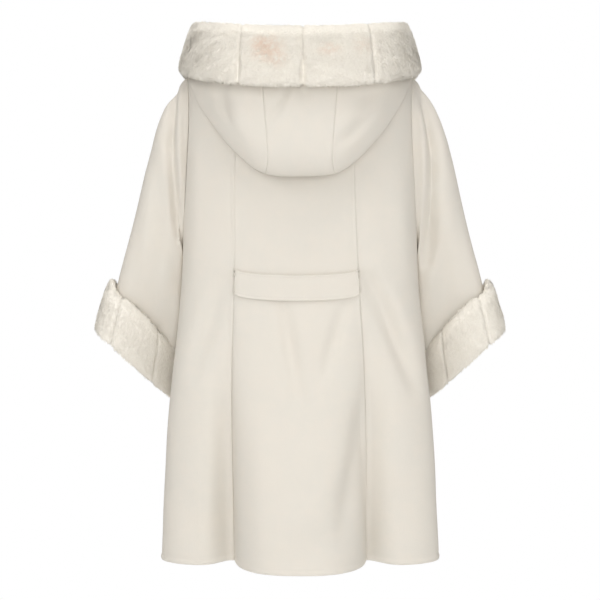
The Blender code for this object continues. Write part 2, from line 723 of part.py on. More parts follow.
def belt_section(across):
    """Section of the half belt at a place across the back's centre panel."""
    lift = math.sin(math.pi * across)
    top_z = back_centre(across, 0.0)[2]
    down = rows_down(top_z - BELT_MIDDLE + BELT_SAG * lift, top_z - HEM_HEIGHT)
    normal = normal_at(back_centre, across, down, -1)
    way = unit(back_centre(across, down + NORMAL_STEP) - back_centre(across, down))
    middle = back_centre(across, down) + normal * (BELT_THICKNESS / 2 + LAYER_GAP + BELT_LIFT * lift)
    return rounded_section(middle, way * BELT_HEIGHT / 2, normal * BELT_THICKNESS / 2,
                           BELT_POINTS, BELT_SQUARENESS)


def make_half_belt():
    """Make the half belt, held in the long seams at its two ends."""
    places = places_between(BELT_END, 1 - BELT_END, 1 / BACK_COLUMNS)
    make_strip("half_belt", [belt_section(across) for across in places], WOOL)


def main():
    """Clear the file and make every piece of the coat."""
    for thing in list(bpy.data.objects):
        bpy.data.objects.remove(thing)
    make_body()
    make_sleeves()
    make_hood()
    make_hood_fur()
    make_cuffs()
    make_half_belt()


main()
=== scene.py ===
"""Dresses the hooded cape coat: its cloth, its fur and its half belt, in the studio.

Metres, the back faces -Y, +X is the coat's right side and +Z is up. The origin is the middle of
the neck at its base. Every cloth piece is a thin shell on the surface of its solid, with its
creases, seams and edges worked in. Every fur piece is a pelt covered in short strands.
"""

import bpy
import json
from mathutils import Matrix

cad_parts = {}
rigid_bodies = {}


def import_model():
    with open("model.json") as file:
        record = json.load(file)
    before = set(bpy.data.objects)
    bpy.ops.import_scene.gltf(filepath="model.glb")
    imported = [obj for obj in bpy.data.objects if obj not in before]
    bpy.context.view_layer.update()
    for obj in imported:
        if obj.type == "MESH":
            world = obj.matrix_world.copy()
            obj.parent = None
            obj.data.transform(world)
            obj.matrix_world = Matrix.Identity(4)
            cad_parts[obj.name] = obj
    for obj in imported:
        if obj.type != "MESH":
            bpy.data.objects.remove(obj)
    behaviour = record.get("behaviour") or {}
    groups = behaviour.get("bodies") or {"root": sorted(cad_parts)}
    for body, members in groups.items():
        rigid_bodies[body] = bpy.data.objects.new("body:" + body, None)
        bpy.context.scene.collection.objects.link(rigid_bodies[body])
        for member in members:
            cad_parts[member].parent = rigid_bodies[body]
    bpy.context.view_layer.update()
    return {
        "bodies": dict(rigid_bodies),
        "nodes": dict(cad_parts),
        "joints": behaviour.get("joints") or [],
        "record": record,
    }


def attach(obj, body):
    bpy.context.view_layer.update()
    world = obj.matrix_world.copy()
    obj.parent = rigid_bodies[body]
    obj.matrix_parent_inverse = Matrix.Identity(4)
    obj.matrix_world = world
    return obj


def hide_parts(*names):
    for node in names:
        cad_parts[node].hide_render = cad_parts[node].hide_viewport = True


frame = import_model()

import json
import logging
import math
from dataclasses import dataclass
from enum import Enum
from functools import partial
from typing import Callable, Iterable, Optional

import bmesh
import bpy
import numpy as np

LOG = logging.getLogger("coat")
Array = np.ndarray
Surface = Callable[[Array, Array], Array]
# Even steps begin this many times as far from an edge as the last step beside it.
CLEAR_OF_EDGE = 1.3
# A sheet's measured area is held at no less than this part of its flat oblong. A sheet is
# stated at no less than this part of its flat oblong, and rounded down a little.
LEAST_CUT = 0.3


def mix(first: Array | float, second: Array | float, part: Array | float) -> Array | float:
    """Give the place a part of the way from the first to the second."""
    return first + (second - first) * part


def smooth(part: Array) -> Array:
    """Give a soft step from 0 to 1, flat at both ends."""
    part = np.clip(part, 0.0, 1.0)
    return part * part * (3 - 2 * part)


def unit(vectors: Array) -> Array:
    """Give the vectors at length 1."""
    return vectors / np.maximum(np.linalg.norm(vectors, axis=-1, keepdims=True), 1e-12)


def superellipse(angle: Array, squareness: float) -> tuple[Array, Array]:
    """Give the sideways and the deep part of a unit superellipse.

    Args:
        angle: Angle from the deep axis.
        squareness: 2 for an ellipse, more for a squarer form.

    Returns:
        The two parts.
    """
    across, deep = np.sin(angle), np.cos(angle)
    reach = (np.abs(across) ** squareness + np.abs(deep) ** squareness) ** (-1 / squareness)
    return across * reach, deep * reach


def angle_across(part: Array, squareness: float) -> Array:
    """Give the angle at which a superellipse is a part of its half width to the side."""
    part = np.minimum(np.abs(part), 1.0)
    return np.arctan2(part, np.maximum(1 - part ** squareness, 0) ** (1 / squareness))


class Table:
    """A short table with named columns, read between its rows along a smooth curve."""

    def __init__(self, columns: str, rows: Iterable[tuple]) -> None:
        """Keep the rows and their slopes.

        Args:
            columns: Names of the columns, the key first.
            rows: The rows, in the order of their keys.
        """
        self.columns = columns.split()
        numbers = np.array(list(rows), float)
        self.keys = numbers[:, 0]
        self.values = numbers[:, 1:]
        self.slopes = np.gradient(self.values, self.keys, axis=0)

    def row(self, key: Array | float) -> Array:
        """Read every column between the rows.

        Args:
            key: One key or an array of keys.

        Returns:
            The columns, in the last axis.
        """
        key = np.clip(key, self.keys[0], self.keys[-1])
        low = np.clip(np.searchsorted(self.keys, key, side="right") - 1, 0, len(self.keys) - 2)
        span = (self.keys[low + 1] - self.keys[low])[..., None]
        part = (np.asarray(key) - self.keys[low])[..., None] / span
        start = (1 + 2 * part) * (1 - part) ** 2
        end = part * part * (3 - 2 * part)
        leave = part * (1 - part) ** 2 * span
        arrive = part * part * (part - 1) * span
        return (start * self.values[low] + end * self.values[low + 1]
                + leave * self.slopes[low] + arrive * self.slopes[low + 1])

    def at(self, key: Array | float) -> dict[str, Array]:
        """Give the columns by name at one key or at an array of keys."""
        return dict(zip(self.columns[1:], np.moveaxis(self.row(key), -1, 0)))


BODY = Table(
    "height   half   back   front  middle  bulge  valley seam_l  seam_r", (
        (-0.903, 0.2485, 0.076, 0.178, -0.030, 0.056, 0.0440, -0.116, 0.117),
        (-0.800, 0.2435, 0.080, 0.172, -0.028, 0.044, 0.0350, -0.117, 0.116),
        (-0.680, 0.2375, 0.086, 0.166, -0.025, 0.028, 0.0230, -0.118, 0.115),
        (-0.590, 0.2290, 0.092, 0.160, -0.021, 0.015, 0.0130, -0.118, 0.112),
        (-0.500, 0.2185, 0.096, 0.154, -0.016, 0.007, 0.0070, -0.116, 0.108),
        (-0.410, 0.2105, 0.100, 0.148, -0.010, 0.002, 0.0030, -0.113, 0.102),
        (-0.300, 0.2065, 0.109, 0.142, -0.004, 0.001, 0.0015, -0.112, 0.097),
        (-0.200, 0.2040, 0.114, 0.134, -0.001, 0.000, 0.0010, -0.110, 0.093),
        (-0.120, 0.2015, 0.111, 0.120, 0.000, 0.000, 0.0010, -0.108, 0.090),
        (-0.050, 0.1990, 0.104, 0.106, 0.000, 0.000, 0.0000, -0.106, 0.088),
        (0.020, 0.1980, 0.100, 0.100, 0.000, 0.000, 0.0000, -0.105, 0.087),
    ))

SLEEVE = Table(
    "along  outer_x outer_y outer_z  under_x under_y under_z  half_depth", (
        (0.00, 0.1980, -0.004, -0.047, 0.2070, 0.028, -0.371, 0.058),
        (0.10, 0.2230, -0.006, -0.072, 0.2145, 0.036, -0.388, 0.058),
        (0.22, 0.2480, -0.005, -0.122, 0.2155, 0.040, -0.408, 0.056),
        (0.38, 0.2670, 0.000, -0.184, 0.2160, 0.045, -0.440, 0.052),
        (0.55, 0.2875, 0.005, -0.264, 0.2180, 0.050, -0.478, 0.049),
        (0.72, 0.3085, 0.010, -0.342, 0.2240, 0.067, -0.520, 0.047),
        (0.84, 0.3255, 0.014, -0.402, 0.2315, 0.085, -0.563, 0.046),
        (1.00, 0.3500, 0.018, -0.499, 0.2400, 0.102, -0.632, 0.045),
    ))

HOOD_COLUMNS = ("station neck fold_x fold_z stand pouch wrap arch "
                "low_x low_y low_z top_x top_y top_z")
HOOD_HALF = (
    (0, 0, 0.000, -0.226, 0.060, 1.0, 1, 0.000, 0.000, -0.195, -0.072, 0.000, -0.146, 0.015),
    (1, 26, 0.060, -0.220, 0.059, 1.0, 1, 0.000, 0.066, -0.191, -0.071, 0.064, -0.143, 0.016),
    (2, 48, 0.104, -0.190, 0.054, 1.0, 1, 0.000, 0.120, -0.173, -0.066, 0.112, -0.130, 0.020),
    (3, 66, 0.149, -0.138, 0.044, 0.9, 1, 0.000, 0.163, -0.134, -0.057, 0.150, -0.100, 0.026),
    (4, 80, 0.181, -0.086, 0.026, 0.5, 1, 0.000, 0.193, -0.077, -0.045, 0.175, -0.055, 0.032),
    (5, 91, 0.184, -0.041, 0.014, 0.0, 1, 0.010, 0.205, -0.008, -0.033, 0.184, 0.000, 0.036),
    (6, 112, 0.158, -0.050, 0.016, 0.0, 0, 0.012, 0.188, 0.062, -0.052, 0.166, 0.048, 0.020),
    (7, 140, 0.082, -0.064, 0.016, 0.0, 0, 0.018, 0.117, 0.134, -0.079, 0.101, 0.099, -0.004),
    (8, 176, 0.009, -0.077, 0.016, 0.0, 0, 0.008, 0.007, 0.138, -0.105, 0.006, 0.105, -0.013),
)
MIRRORED_COLUMNS = (0, 1, 2, 8, 11)
LOW_AND_TOP = slice(7, 13)


def mirrored(row: tuple) -> tuple:
    """Give the same row of the hood for the left side."""
    return tuple(-number if column in MIRRORED_COLUMNS else number
                 for column, number in enumerate(row))


HOOD = Table(HOOD_COLUMNS, [mirrored(row) for row in HOOD_HALF[:0:-1]] + list(HOOD_HALF))


@dataclass(frozen=True)
class CoatCut:
    """The coat's cut: the surfaces that its cloth pieces lie on, from named sizes."""

    neck_half_width: float = 0.075
    neck_back: float = 0.058
    neck_front: float = 0.066
    neck_drop: float = 0.072
    shoulder_tip: float = 0.198
    shoulder_slope: float = 0.38
    shoulder_seam_y: float = -0.004
    shoulder_round: float = 0.07
    shoulder_rows: float = 0.18
    hem: float = -0.903
    armhole_bottom: float = -0.371
    armhole_half_depth: float = 0.058
    armhole_squareness: float = 2.3
    sleeve_fit: float = 0.3
    body_squareness: float = 2.8
    bulge_squareness: float = 2.5
    valley_width: float = 0.036
    even_spacing: float = 0.15
    side_seam_y: float = 0.028
    front_lap: float = 0.030
    lap_ease: float = 0.016
    lap_start: float = 0.024
    lap_drop: float = 0.0055
    column_spread: float = 0.25

    @property
    def tip_height(self) -> float:
        """Height of the shoulder's tip."""
        return float(self.shoulder_height(self.shoulder_tip))

    @property
    def armhole_middle(self) -> float:
        """Height of the armhole's middle."""
        return (self.tip_height + self.armhole_bottom) / 2

    @property
    def armhole_half_height(self) -> float:
        """Half the armhole's height."""
        return (self.tip_height - self.armhole_bottom) / 2

    def shoulder_height(self, across: Array | float) -> Array:
        """Give the height of the shoulder seam at a distance from the middle."""
        return -self.shoulder_slope * np.maximum(np.abs(across) - self.neck_half_width, 0.0)

    def drop(self, down: Array, whole: Array) -> tuple[Array, Array]:
        """Round a panel over the shoulder and let it fall.

        Args:
            down: Place down a panel, from 0 to 1.
            whole: Depth from its top edge to the hem.

        Returns:
            The depth below the top edge, and how far the shoulder has rounded over.
        """
        turn = math.pi / 2 * np.minimum(down / self.shoulder_rows, 1.0)
        rest = (down - self.shoulder_rows) / (1 - self.shoulder_rows)
        depth = np.where(down < self.shoulder_rows, self.shoulder_round * (1 - np.cos(turn)),
                         mix(self.shoulder_round, whole, rest))
        return depth, np.sin(turn)

    def rows_down(self, depth: Array, whole: Array) -> Array:
        """Find the place down a panel that lies at a depth.

        Args:
            depth: Depth below the top edge.
            whole: Depth from the top edge to the hem.

        Returns:
            The place down the panel, from 0 to 1.
        """
        near = np.arccos(1 - np.clip(depth / self.shoulder_round, 0, 1)) / (math.pi / 2)
        far = (depth - self.shoulder_round) / (whole - self.shoulder_round)
        return np.where(depth < self.shoulder_round, self.shoulder_rows * near,
                        mix(self.shoulder_rows, 1.0, far))

    def armhole_depth(self, height: Array) -> Array:
        """Measure the armhole at a height.

        Args:
            height: Height of the place.

        Returns:
            How far the armhole's edges lie before and behind its own middle.
        """
        part = np.minimum(np.abs((height - self.armhole_middle) / self.armhole_half_height), 1.0)
        return self.armhole_half_depth * (1 - part ** self.armhole_squareness) ** (
            1 / self.armhole_squareness)

    def side_seam(self, height: Array) -> Array:
        """Give the depth of the side's middle line."""
        part = (self.tip_height - height) / (self.tip_height - self.armhole_bottom)
        return mix(self.shoulder_seam_y, self.side_seam_y, np.clip(part, 0.0, 1.0))

    def ring_angle(self, body: dict[str, Array], y: Array) -> Array:
        """Find a depth on the body's ring.

        Args:
            body: The body's columns at the ring's height.
            y: The depth.

        Returns:
            The angle from the back at which the ring comes to it.
        """
        off = (body["middle"] - y) / np.where(y < body["middle"], body["back"], body["front"])
        turn = angle_across(off, self.body_squareness)
        return np.where(off > 0, math.pi / 2 - turn, math.pi / 2 + turn)

    def ring_point(self, body: dict[str, Array], angle: Array) -> tuple[Array, Array]:
        """Give a point of the body's ring.

        Args:
            body: The body's columns at the ring's height.
            angle: Angle from the back.

        Returns:
            The half width and the depth there.
        """
        wide, deep = superellipse(angle, self.body_squareness)
        reach = np.where(deep > 0, body["back"], body["front"])
        return body["half"] * wide, body["middle"] - deep * reach

    def below_shoulder(self, depth: Array) -> Array:
        """Give how far a panel's columns have spread to an even spacing."""
        return smooth((depth - self.shoulder_round) / self.column_spread)

    def neck_edge(self, across: Array) -> Array:
        """Give how far the neckline reaches back or forward, as a part of its full reach."""
        part = np.minimum(np.abs(across) / self.neck_half_width, 1.0)
        return np.sqrt(1 - part * part)

    def back_centre(self, across: Array, down: Array) -> Array:
        """Surface of the back's centre panel, between its two long seams.

        Args:
            across: Place from the left seam to the right one, from 0 to 1.
            down: Place from the top edge to the hem, from 0 to 1.

        Returns:
            The points.
        """
        top = BODY.at(0.0)
        side, out = superellipse(math.pi * (across - 0.5), self.bulge_squareness)
        side = mix(side, 2 * across - 1, self.even_spacing)
        middle, half = (top["seam_l"] + top["seam_r"]) / 2, (top["seam_r"] - top["seam_l"]) / 2
        top_x = middle + half * side
        top_z = self.shoulder_height(top_x)
        depth, rounded = self.drop(down, top_z - self.hem)
        body = BODY.at(top_z - depth)
        middle = (body["seam_l"] + body["seam_r"]) / 2
        half = (body["seam_r"] - body["seam_l"]) / 2
        x = mix(top_x, middle + half * side, rounded)
        full = self.ring_point(body, angle_across(x / body["half"], self.body_squareness))[1]
        full = full - mix(-body["valley"], body["bulge"], out)
        start = mix(self.shoulder_seam_y, -self.neck_back, self.neck_edge(top_x))
        return np.stack((x, mix(start, full, rounded), top_z - depth), axis=-1)

    def back_side(self, side: int, across: Array, down: Array) -> Array:
        """Surface of a back side panel, from the long seam to the armhole and the side seam.

        Args:
            side: 1 for the right side, -1 for the left one.
            across: Place from the long seam outwards, from 0 to 1.
            down: Place from the top edge to the hem, from 0 to 1.

        Returns:
            The points.
        """
        seam = "seam_r" if side > 0 else "seam_l"
        top_x = mix(np.abs(BODY.at(0.0)[seam]), self.shoulder_tip, across)
        top_z = self.shoulder_height(top_x)
        depth, rounded = self.drop(down, top_z - self.hem)
        height = top_z - depth
        body = BODY.at(height)
        first = angle_across(body[seam] / body["half"], self.body_squareness)
        last = self.ring_angle(body, self.side_seam(height) - self.armhole_depth(height))
        level_x = mix(np.abs(body[seam]), self.ring_point(body, last)[0], across)
        straight = np.where(across < 1, angle_across(level_x / body["half"], self.body_squareness),
                            last)
        even = mix(first, last, across)
        wide, full = self.ring_point(body, mix(straight, even, self.below_shoulder(depth)))
        x = mix(top_x, wide, rounded)
        off_seam = (x - np.abs(body[seam])) / self.valley_width
        full = full + body["valley"] * np.exp(-off_seam * off_seam)
        return np.stack((side * x, mix(self.shoulder_seam_y, full, rounded), height), axis=-1)

    def front(self, side: int, across: Array, down: Array) -> Array:
        """Surface of a front, from the armhole and the side seam to past the middle.

        Args:
            side: 1 for the right side, -1 for the left one.
            across: Place from the side inwards, from 0 to 1.
            down: Place from the top edge to the hem, from 0 to 1.

        Returns:
            The points.
        """
        turn = (math.pi / 2 + math.asin(self.front_lap / self.neck_half_width))
        turn = turn * np.maximum(across * 2 - 1, 0.0)
        reach = np.sin(turn)
        by_shoulder = across < 0.5
        top_x = np.where(by_shoulder, mix(self.shoulder_tip, self.neck_half_width, across * 2),
                         self.neck_half_width * np.cos(turn))
        top_y = np.where(by_shoulder, self.shoulder_seam_y,
                         mix(self.shoulder_seam_y, self.neck_front, reach))
        top_z = np.where(by_shoulder, self.shoulder_height(top_x), -self.neck_drop * reach ** 2)
        depth, rounded = self.drop(down, top_z - self.hem)
        height = top_z - depth
        body = BODY.at(height)
        first = self.ring_angle(body, self.side_seam(height) + self.armhole_depth(height))
        at_neck = math.pi - angle_across(self.neck_half_width / body["half"], self.body_squareness)
        past = math.pi + np.arctan(self.front_lap / body["half"])
        even = np.where(by_shoulder, mix(first, at_neck, across * 2),
                        mix(at_neck, past, across * 2 - 1))
        level_x = np.where(by_shoulder, mix(self.ring_point(body, first)[0], self.neck_half_width,
                                            across * 2), top_x)
        straight = angle_across(level_x / body["half"], self.body_squareness)
        straight = np.where(across > 0, math.pi - np.copysign(straight, level_x), first)
        wide, full = self.ring_point(body, mix(straight, even, self.below_shoulder(depth)))
        x = mix(top_x, wide, rounded)
        point = np.stack((side * x, mix(top_y, full, rounded), height), axis=-1)
        if side > 0:
            return point
        sunk = self.lap_drop * smooth((self.front_lap + self.lap_start - x) / self.lap_ease)
        level = np.sqrt(np.maximum(1 - rounded * rounded, 0.0))
        return point - sunk[..., None] * np.stack((0 * x, rounded, level), axis=-1)

    def armhole(self, side: int, turn: Array) -> Array:
        """Edge of the armhole.

        Args:
            side: 1 for the right side, -1 for the left one.
            turn: Place round the edge: 0 at the shoulder tip, down the back, up the front.

        Returns:
            The points.
        """
        height = self.armhole_middle + self.armhole_half_height * np.cos(turn)
        down = self.rows_down(self.tip_height - height, self.tip_height - self.hem)
        behind = (np.sin(turn) >= 0)[..., None]
        return np.where(behind, self.back_side(side, np.ones_like(down), down),
                        self.front(side, np.zeros_like(down), down))

    def sleeve_ring(self, side: int, turn: Array, along: Array) -> Array:
        """Surface of a sleeve by its table alone.

        Args:
            side: 1 for the right side, -1 for the left one.
            turn: Place round the sleeve.
            along: Place down the sleeve, from 0 to 1.

        Returns:
            The points.
        """
        ring = SLEEVE.row(along)
        outer, under, half_depth = ring[..., 0:3], ring[..., 3:6], ring[..., 6]
        point = (outer + under) / 2 + (outer - under) / 2 * np.cos(turn)[..., None]
        point[..., 1] -= half_depth * np.sin(turn)
        return point * np.array((side, 1.0, 1.0))

    def sleeve(self, side: int, turn: Array, along: Array) -> Array:
        """Surface of a sleeve, whose first ring is the armhole's edge itself.

        Args:
            side: 1 for the right side, -1 for the left one.
            turn: Place round the sleeve.
            along: Place down the sleeve, from 0 to 1.

        Returns:
            The points.
        """
        fit = np.maximum(1 - along / self.sleeve_fit, 0.0) ** 2
        gap = self.armhole(side, turn) - self.sleeve_ring(side, turn, np.zeros_like(along))
        return self.sleeve_ring(side, turn, along) + gap * fit[..., None]


@dataclass(frozen=True)
class HoodCut:
    """The lowered hood's form and that of the fur band round its edge."""

    coat: CoatCut = CoatCut()
    neck_seam: float = 0.0014
    neck_roll: float = 0.011
    clear: float = 0.005
    front_clear: float = 0.006
    ridge_clear: float = 0.010
    roll_at: float = 0.14
    lies_at: tuple = (0.45, 0.86)
    pouch_at: float = 0.84
    seam_station: float = 0.95
    end_station: float = 8.0
    fur_turn_end: float = 7.9
    station_step: float = 0.05
    fur_thick: float = 0.024
    fur_seat: float = 0.0008
    free_below_fur: float = 0.006
    fur_round: float = 0.010

    def neckline_height(self, reach: float) -> float:
        """Give the height of the front neckline at a part of its full reach."""
        return -self.coat.neck_drop * reach * reach

    def coat_under(self, x: float, z: float, before: bool) -> tuple[Array, Array]:
        """Find the coat at a place seen from behind.

        Args:
            x: Distance to the right.
            z: Height.
            before: Whether the place is on the front.

        Returns:
            The point and its normal.
        """
        coat = self.coat
        neck = float(coat.neck_edge(x))
        top_z = self.neckline_height(neck) if before and neck > 0 else coat.shoulder_height(x)
        top_y = mix(coat.shoulder_seam_y, coat.neck_front if before else -coat.neck_back, neck)
        turn = math.acos(1 - np.clip(top_z - z, 0.0, coat.shoulder_round) / coat.shoulder_round)
        body = BODY.at(z)
        angle = angle_across(x / body["half"], coat.body_squareness)
        full = coat.ring_point(body, math.pi - angle if before else angle)[1]
        rounded, level = math.sin(turn), math.cos(turn)
        slope = coat.shoulder_slope * level * math.copysign(1.0, x) if neck == 0 else 0.0
        point = np.array((x, mix(top_y, full, rounded), z))
        return point, unit(np.array((slope, rounded if before else -rounded, level)))

    def front_height(self, x: float, y: float) -> float:
        """Give the height that just clears the coat's front beside or before the neck.

        Args:
            x: Distance to the right.
            y: Depth.

        Returns:
            The height.
        """
        coat = self.coat
        neck = float(coat.neck_edge(x))
        top_y = mix(coat.shoulder_seam_y, coat.neck_front, neck)
        top_z = self.neckline_height(neck) if neck > 0 else coat.shoulder_height(x)
        body = BODY.at(top_z - coat.shoulder_round / 2)
        angle = math.pi - angle_across(x / body["half"], coat.body_squareness)
        full = coat.ring_point(body, angle)[1]
        out = max(y - top_y, 0.0) / (full + self.front_clear - top_y)
        if out > 1:
            return coat.hem
        return top_z + self.front_clear - coat.shoulder_round * (1 - math.sqrt(1 - out * out))

    def fur_frame(self, station: float) -> tuple[Array, Array, Array]:
        """Place the fur band.

        Args:
            station: Place round the hood.

        Returns:
            The lower and the upper end of the fur's middle, and the way it faces.
        """
        near = min(max(station, -self.fur_turn_end), self.fur_turn_end)
        ahead = HOOD.row(near + self.station_step)[LOW_AND_TOP]
        behind = HOOD.row(near - self.station_step)[LOW_AND_TOP]
        low, top = np.split(HOOD.row(station)[LOW_AND_TOP], 2)
        way = sum(np.split(ahead - behind, 2))
        return low, top, unit(np.cross(way, top - low))

    def path(self, station: float) -> Array:
        """List the points that the hood passes at a station.

        Args:
            station: Place round the hood.

        Returns:
            The points, from the neckline to the fur's upper edge.
        """
        row = HOOD.at(station)
        neck = math.radians(row["neck"])
        before = abs(row["neck"]) > 90
        neck_x = self.coat.neck_half_width * math.sin(neck)
        neck_z = self.neckline_height(abs(math.cos(neck))) if before else 0.0
        low, top, facing = self.fur_frame(station)
        behind_fur = facing * (self.fur_thick / 2 + self.fur_seat)

        def off_coat(part: float, away: float) -> Array:
            """Find a point off the coat.

            Args:
                part: How far it is from the neck to the fold.
                away: How far it is off the coat.

            Returns:
                The point.
            """
            x, z = mix(neck_x, row["fold_x"], part), mix(neck_z, row["fold_z"], part)
            point, normal = self.coat_under(float(x), float(z), before)
            return point + normal * away

        fold = off_coat(1.0, row["stand"] / 2)
        low_in, top_in = low - behind_fur - facing * self.free_below_fur, top - behind_fur
        middle_in = mix(low - behind_fur, top_in, 0.5) - facing * self.free_below_fur / 4
        outer = mix(mix(fold, low_in, 0.5), off_coat(self.pouch_at, row["stand"]), row["pouch"])
        first = off_coat(0.0, self.neck_seam)
        lying = [off_coat(part, self.clear) for part in self.lies_at]
        wrapped = np.array((first, off_coat(self.roll_at, self.neck_roll), *lying, fold, outer,
                            low_in, middle_in))
        parts = np.linspace(0, 1, len(wrapped))
        rising = np.array([mix(first, middle_in, part) for part in parts])
        rising[:, 2] += row["arch"] * np.sin(math.pi * parts)
        rising[1] = mix(first, rising[1], 0.5) + np.array((0.0, 0.0, self.neck_roll))
        path = np.vstack((mix(rising, wrapped, row["wrap"]), top_in))
        for point in path[1:] if before else ():
            for beside in (-self.ridge_clear, 0.0, self.ridge_clear):
                point[2] = max(point[2], self.front_height(point[0] + beside, point[1]))
        return path

    def surface(self, stations: Array, down: Array) -> Array:
        """Surface of the hood over a grid of stations and of places down it."""
        columns = [self.along(self.path(float(station)), down) for station in stations]
        return np.stack(columns, axis=1)

    @staticmethod
    def along(points: Array, place: Array) -> Array:
        """Draw a smooth curve through points.

        Args:
            points: The points.
            place: Places on the curve, from 0 to 1.

        Returns:
            The points at those places.
        """
        place = place * (len(points) - 1)
        low = np.clip(place.astype(int), 0, len(points) - 2)
        part = (place - low)[:, None]
        padded = np.vstack((2 * points[0] - points[1], points, 2 * points[-1] - points[-2]))
        before, start, end, after = (padded[low + k] for k in range(4))
        return (start + part * (end - before) / 2
                + part ** 2 * (before - 2.5 * start + 2 * end - after / 2)
                + part ** 3 * (1.5 * (start - end) + (after - before) / 2))


class Side(Enum):
    """The side of the coat that a piece or a fold is on."""

    LEFT = -1
    RIGHT = 1

    @property
    def word(self) -> str:
        """The side's name in a piece's name."""
        return self.name.lower()


@dataclass(frozen=True)
class Fold:
    """A soft trough along a line seen from behind, or a ridge where the depth is negative."""

    x0: float
    z0: float
    x1: float
    z1: float
    width: float
    depth: float
    faint: float = 0.25
    trim: float = 0.08

    def relief(self, x: Array, z: Array) -> Array:
        """Work the fold, which fades towards its two ends.

        Args:
            x: Distances to the right.
            z: Heights.

        Returns:
            How far the cloth moves out at each place.
        """
        dx, dz = self.x1 - self.x0, self.z1 - self.z0
        along = ((x - self.x0) * dx + (z - self.z0) * dz) / (dx * dx + dz * dz)
        near = np.clip(along, 0.0, 1.0)
        off = np.hypot(x - self.x0 - near * dx, z - self.z0 - near * dz) / self.width
        swell = np.sin(math.pi * mix(self.trim, 1 - self.trim, near))
        fade = self.faint + (1 - self.faint) * swell
        return -self.depth * fade * np.exp(-off * off)


BACK_FOLDS = (
    Fold(0.126, -0.408, 0.202, -0.590, 0.016, 0.0155),
    Fold(0.132, -0.375, 0.206, -0.520, 0.018, -0.0046),
    Fold(-0.136, -0.405, -0.184, -0.560, 0.016, 0.0085),
    Fold(-0.128, -0.372, -0.192, -0.500, 0.016, -0.0020),
    Fold(-0.030, -0.442, -0.002, -0.600, 0.012, 0.0090),
    Fold(0.074, -0.450, 0.044, -0.560, 0.011, 0.0076),
    Fold(0.020, -0.545, 0.044, -0.612, 0.012, 0.0016),
    Fold(0.012, -0.455, 0.020, -0.560, 0.016, -0.0014),
    Fold(0.110, -0.610, 0.092, -0.780, 0.019, 0.0090),
    Fold(0.086, -0.740, 0.078, -0.850, 0.022, 0.0090),
    Fold(0.050, -0.830, -0.020, -0.895, 0.028, 0.0050),
    Fold(-0.134, -0.600, -0.136, -0.895, 0.012, 0.0036),
    Fold(-0.068, -0.640, -0.066, -0.890, 0.018, -0.0016),
    Fold(0.010, -0.660, 0.000, -0.890, 0.040, -0.0022),
    Fold(-0.190, -0.760, -0.186, -0.890, 0.022, 0.0030),
    Fold(-0.152, -0.640, -0.150, -0.890, 0.018, -0.0018),
    Fold(0.182, -0.740, 0.180, -0.880, 0.024, 0.0028),
    Fold(0.150, -0.700, 0.146, -0.890, 0.018, -0.0018),
    Fold(-0.160, -0.110, -0.150, -0.330, 0.018, 0.0014),
    Fold(0.140, -0.190, 0.150, -0.300, 0.020, 0.0016),
    Fold(0.176, -0.250, 0.184, -0.400, 0.013, -0.0022),
    Fold(-0.178, -0.170, -0.186, -0.420, 0.012, -0.0016),
)
FRONT_FOLDS = (
    Fold(0.060, -0.330, 0.130, -0.520, 0.022, 0.0026),
    Fold(-0.075, -0.340, -0.140, -0.540, 0.020, 0.0022),
    Fold(0.110, -0.600, 0.122, -0.890, 0.024, 0.0040),
    Fold(-0.105, -0.580, -0.118, -0.890, 0.026, 0.0044),
    Fold(0.050, -0.640, 0.054, -0.890, 0.026, -0.0028),
    Fold(-0.050, -0.620, -0.058, -0.890, 0.024, -0.0026),
    Fold(0.165, -0.560, 0.180, -0.890, 0.022, -0.0024),
    Fold(-0.160, -0.600, -0.176, -0.890, 0.020, -0.0022),
    Fold(0.120, -0.150, 0.150, -0.330, 0.018, 0.0018),
    Fold(-0.118, -0.160, -0.152, -0.300, 0.020, 0.0020),
)
LEFT_SLEEVE_FOLDS = (
    Fold(-0.222, -0.060, -0.228, -0.170, 0.009, 0.0120),
    Fold(-0.228, -0.150, -0.214, -0.330, 0.009, 0.0120),
    Fold(-0.211, -0.080, -0.211, -0.260, 0.007, -0.0050),
    Fold(-0.243, -0.180, -0.252, -0.380, 0.016, 0.0034),
    Fold(-0.262, -0.220, -0.276, -0.400, 0.016, -0.0024),
    Fold(-0.226, -0.330, -0.246, -0.470, 0.014, -0.0028),
)
RIGHT_SLEEVE_FOLDS = (
    Fold(0.216, -0.070, 0.234, -0.170, 0.010, 0.0135),
    Fold(0.234, -0.150, 0.236, -0.230, 0.011, 0.0140),
    Fold(0.235, -0.215, 0.226, -0.375, 0.011, 0.0140),
    Fold(0.214, -0.110, 0.219, -0.290, 0.008, -0.0048),
    Fold(0.252, -0.170, 0.262, -0.350, 0.018, -0.0034),
    Fold(0.250, -0.330, 0.262, -0.460, 0.016, 0.0030),
    Fold(0.228, -0.360, 0.244, -0.500, 0.012, -0.0026),
)
HOOD_FOLDS = (
    Fold(-0.020, -0.080, -0.048, -0.130, 0.006, 0.0052),
    Fold(-0.010, -0.088, -0.034, -0.132, 0.008, -0.0026),
    Fold(0.004, -0.084, 0.010, -0.102, 0.010, 0.0034),
    Fold(-0.136, -0.078, -0.122, -0.150, 0.012, 0.0060),
    Fold(-0.108, -0.080, -0.102, -0.160, 0.018, -0.0036),
    Fold(-0.086, -0.090, -0.056, -0.098, 0.008, -0.0024),
    Fold(0.098, -0.104, 0.132, -0.082, 0.012, 0.0044),
    Fold(0.066, -0.184, 0.114, -0.126, 0.016, 0.0054),
    Fold(0.096, -0.122, 0.062, -0.156, 0.014, -0.0030),
    Fold(-0.096, -0.190, -0.030, -0.222, 0.014, 0.0026),
)


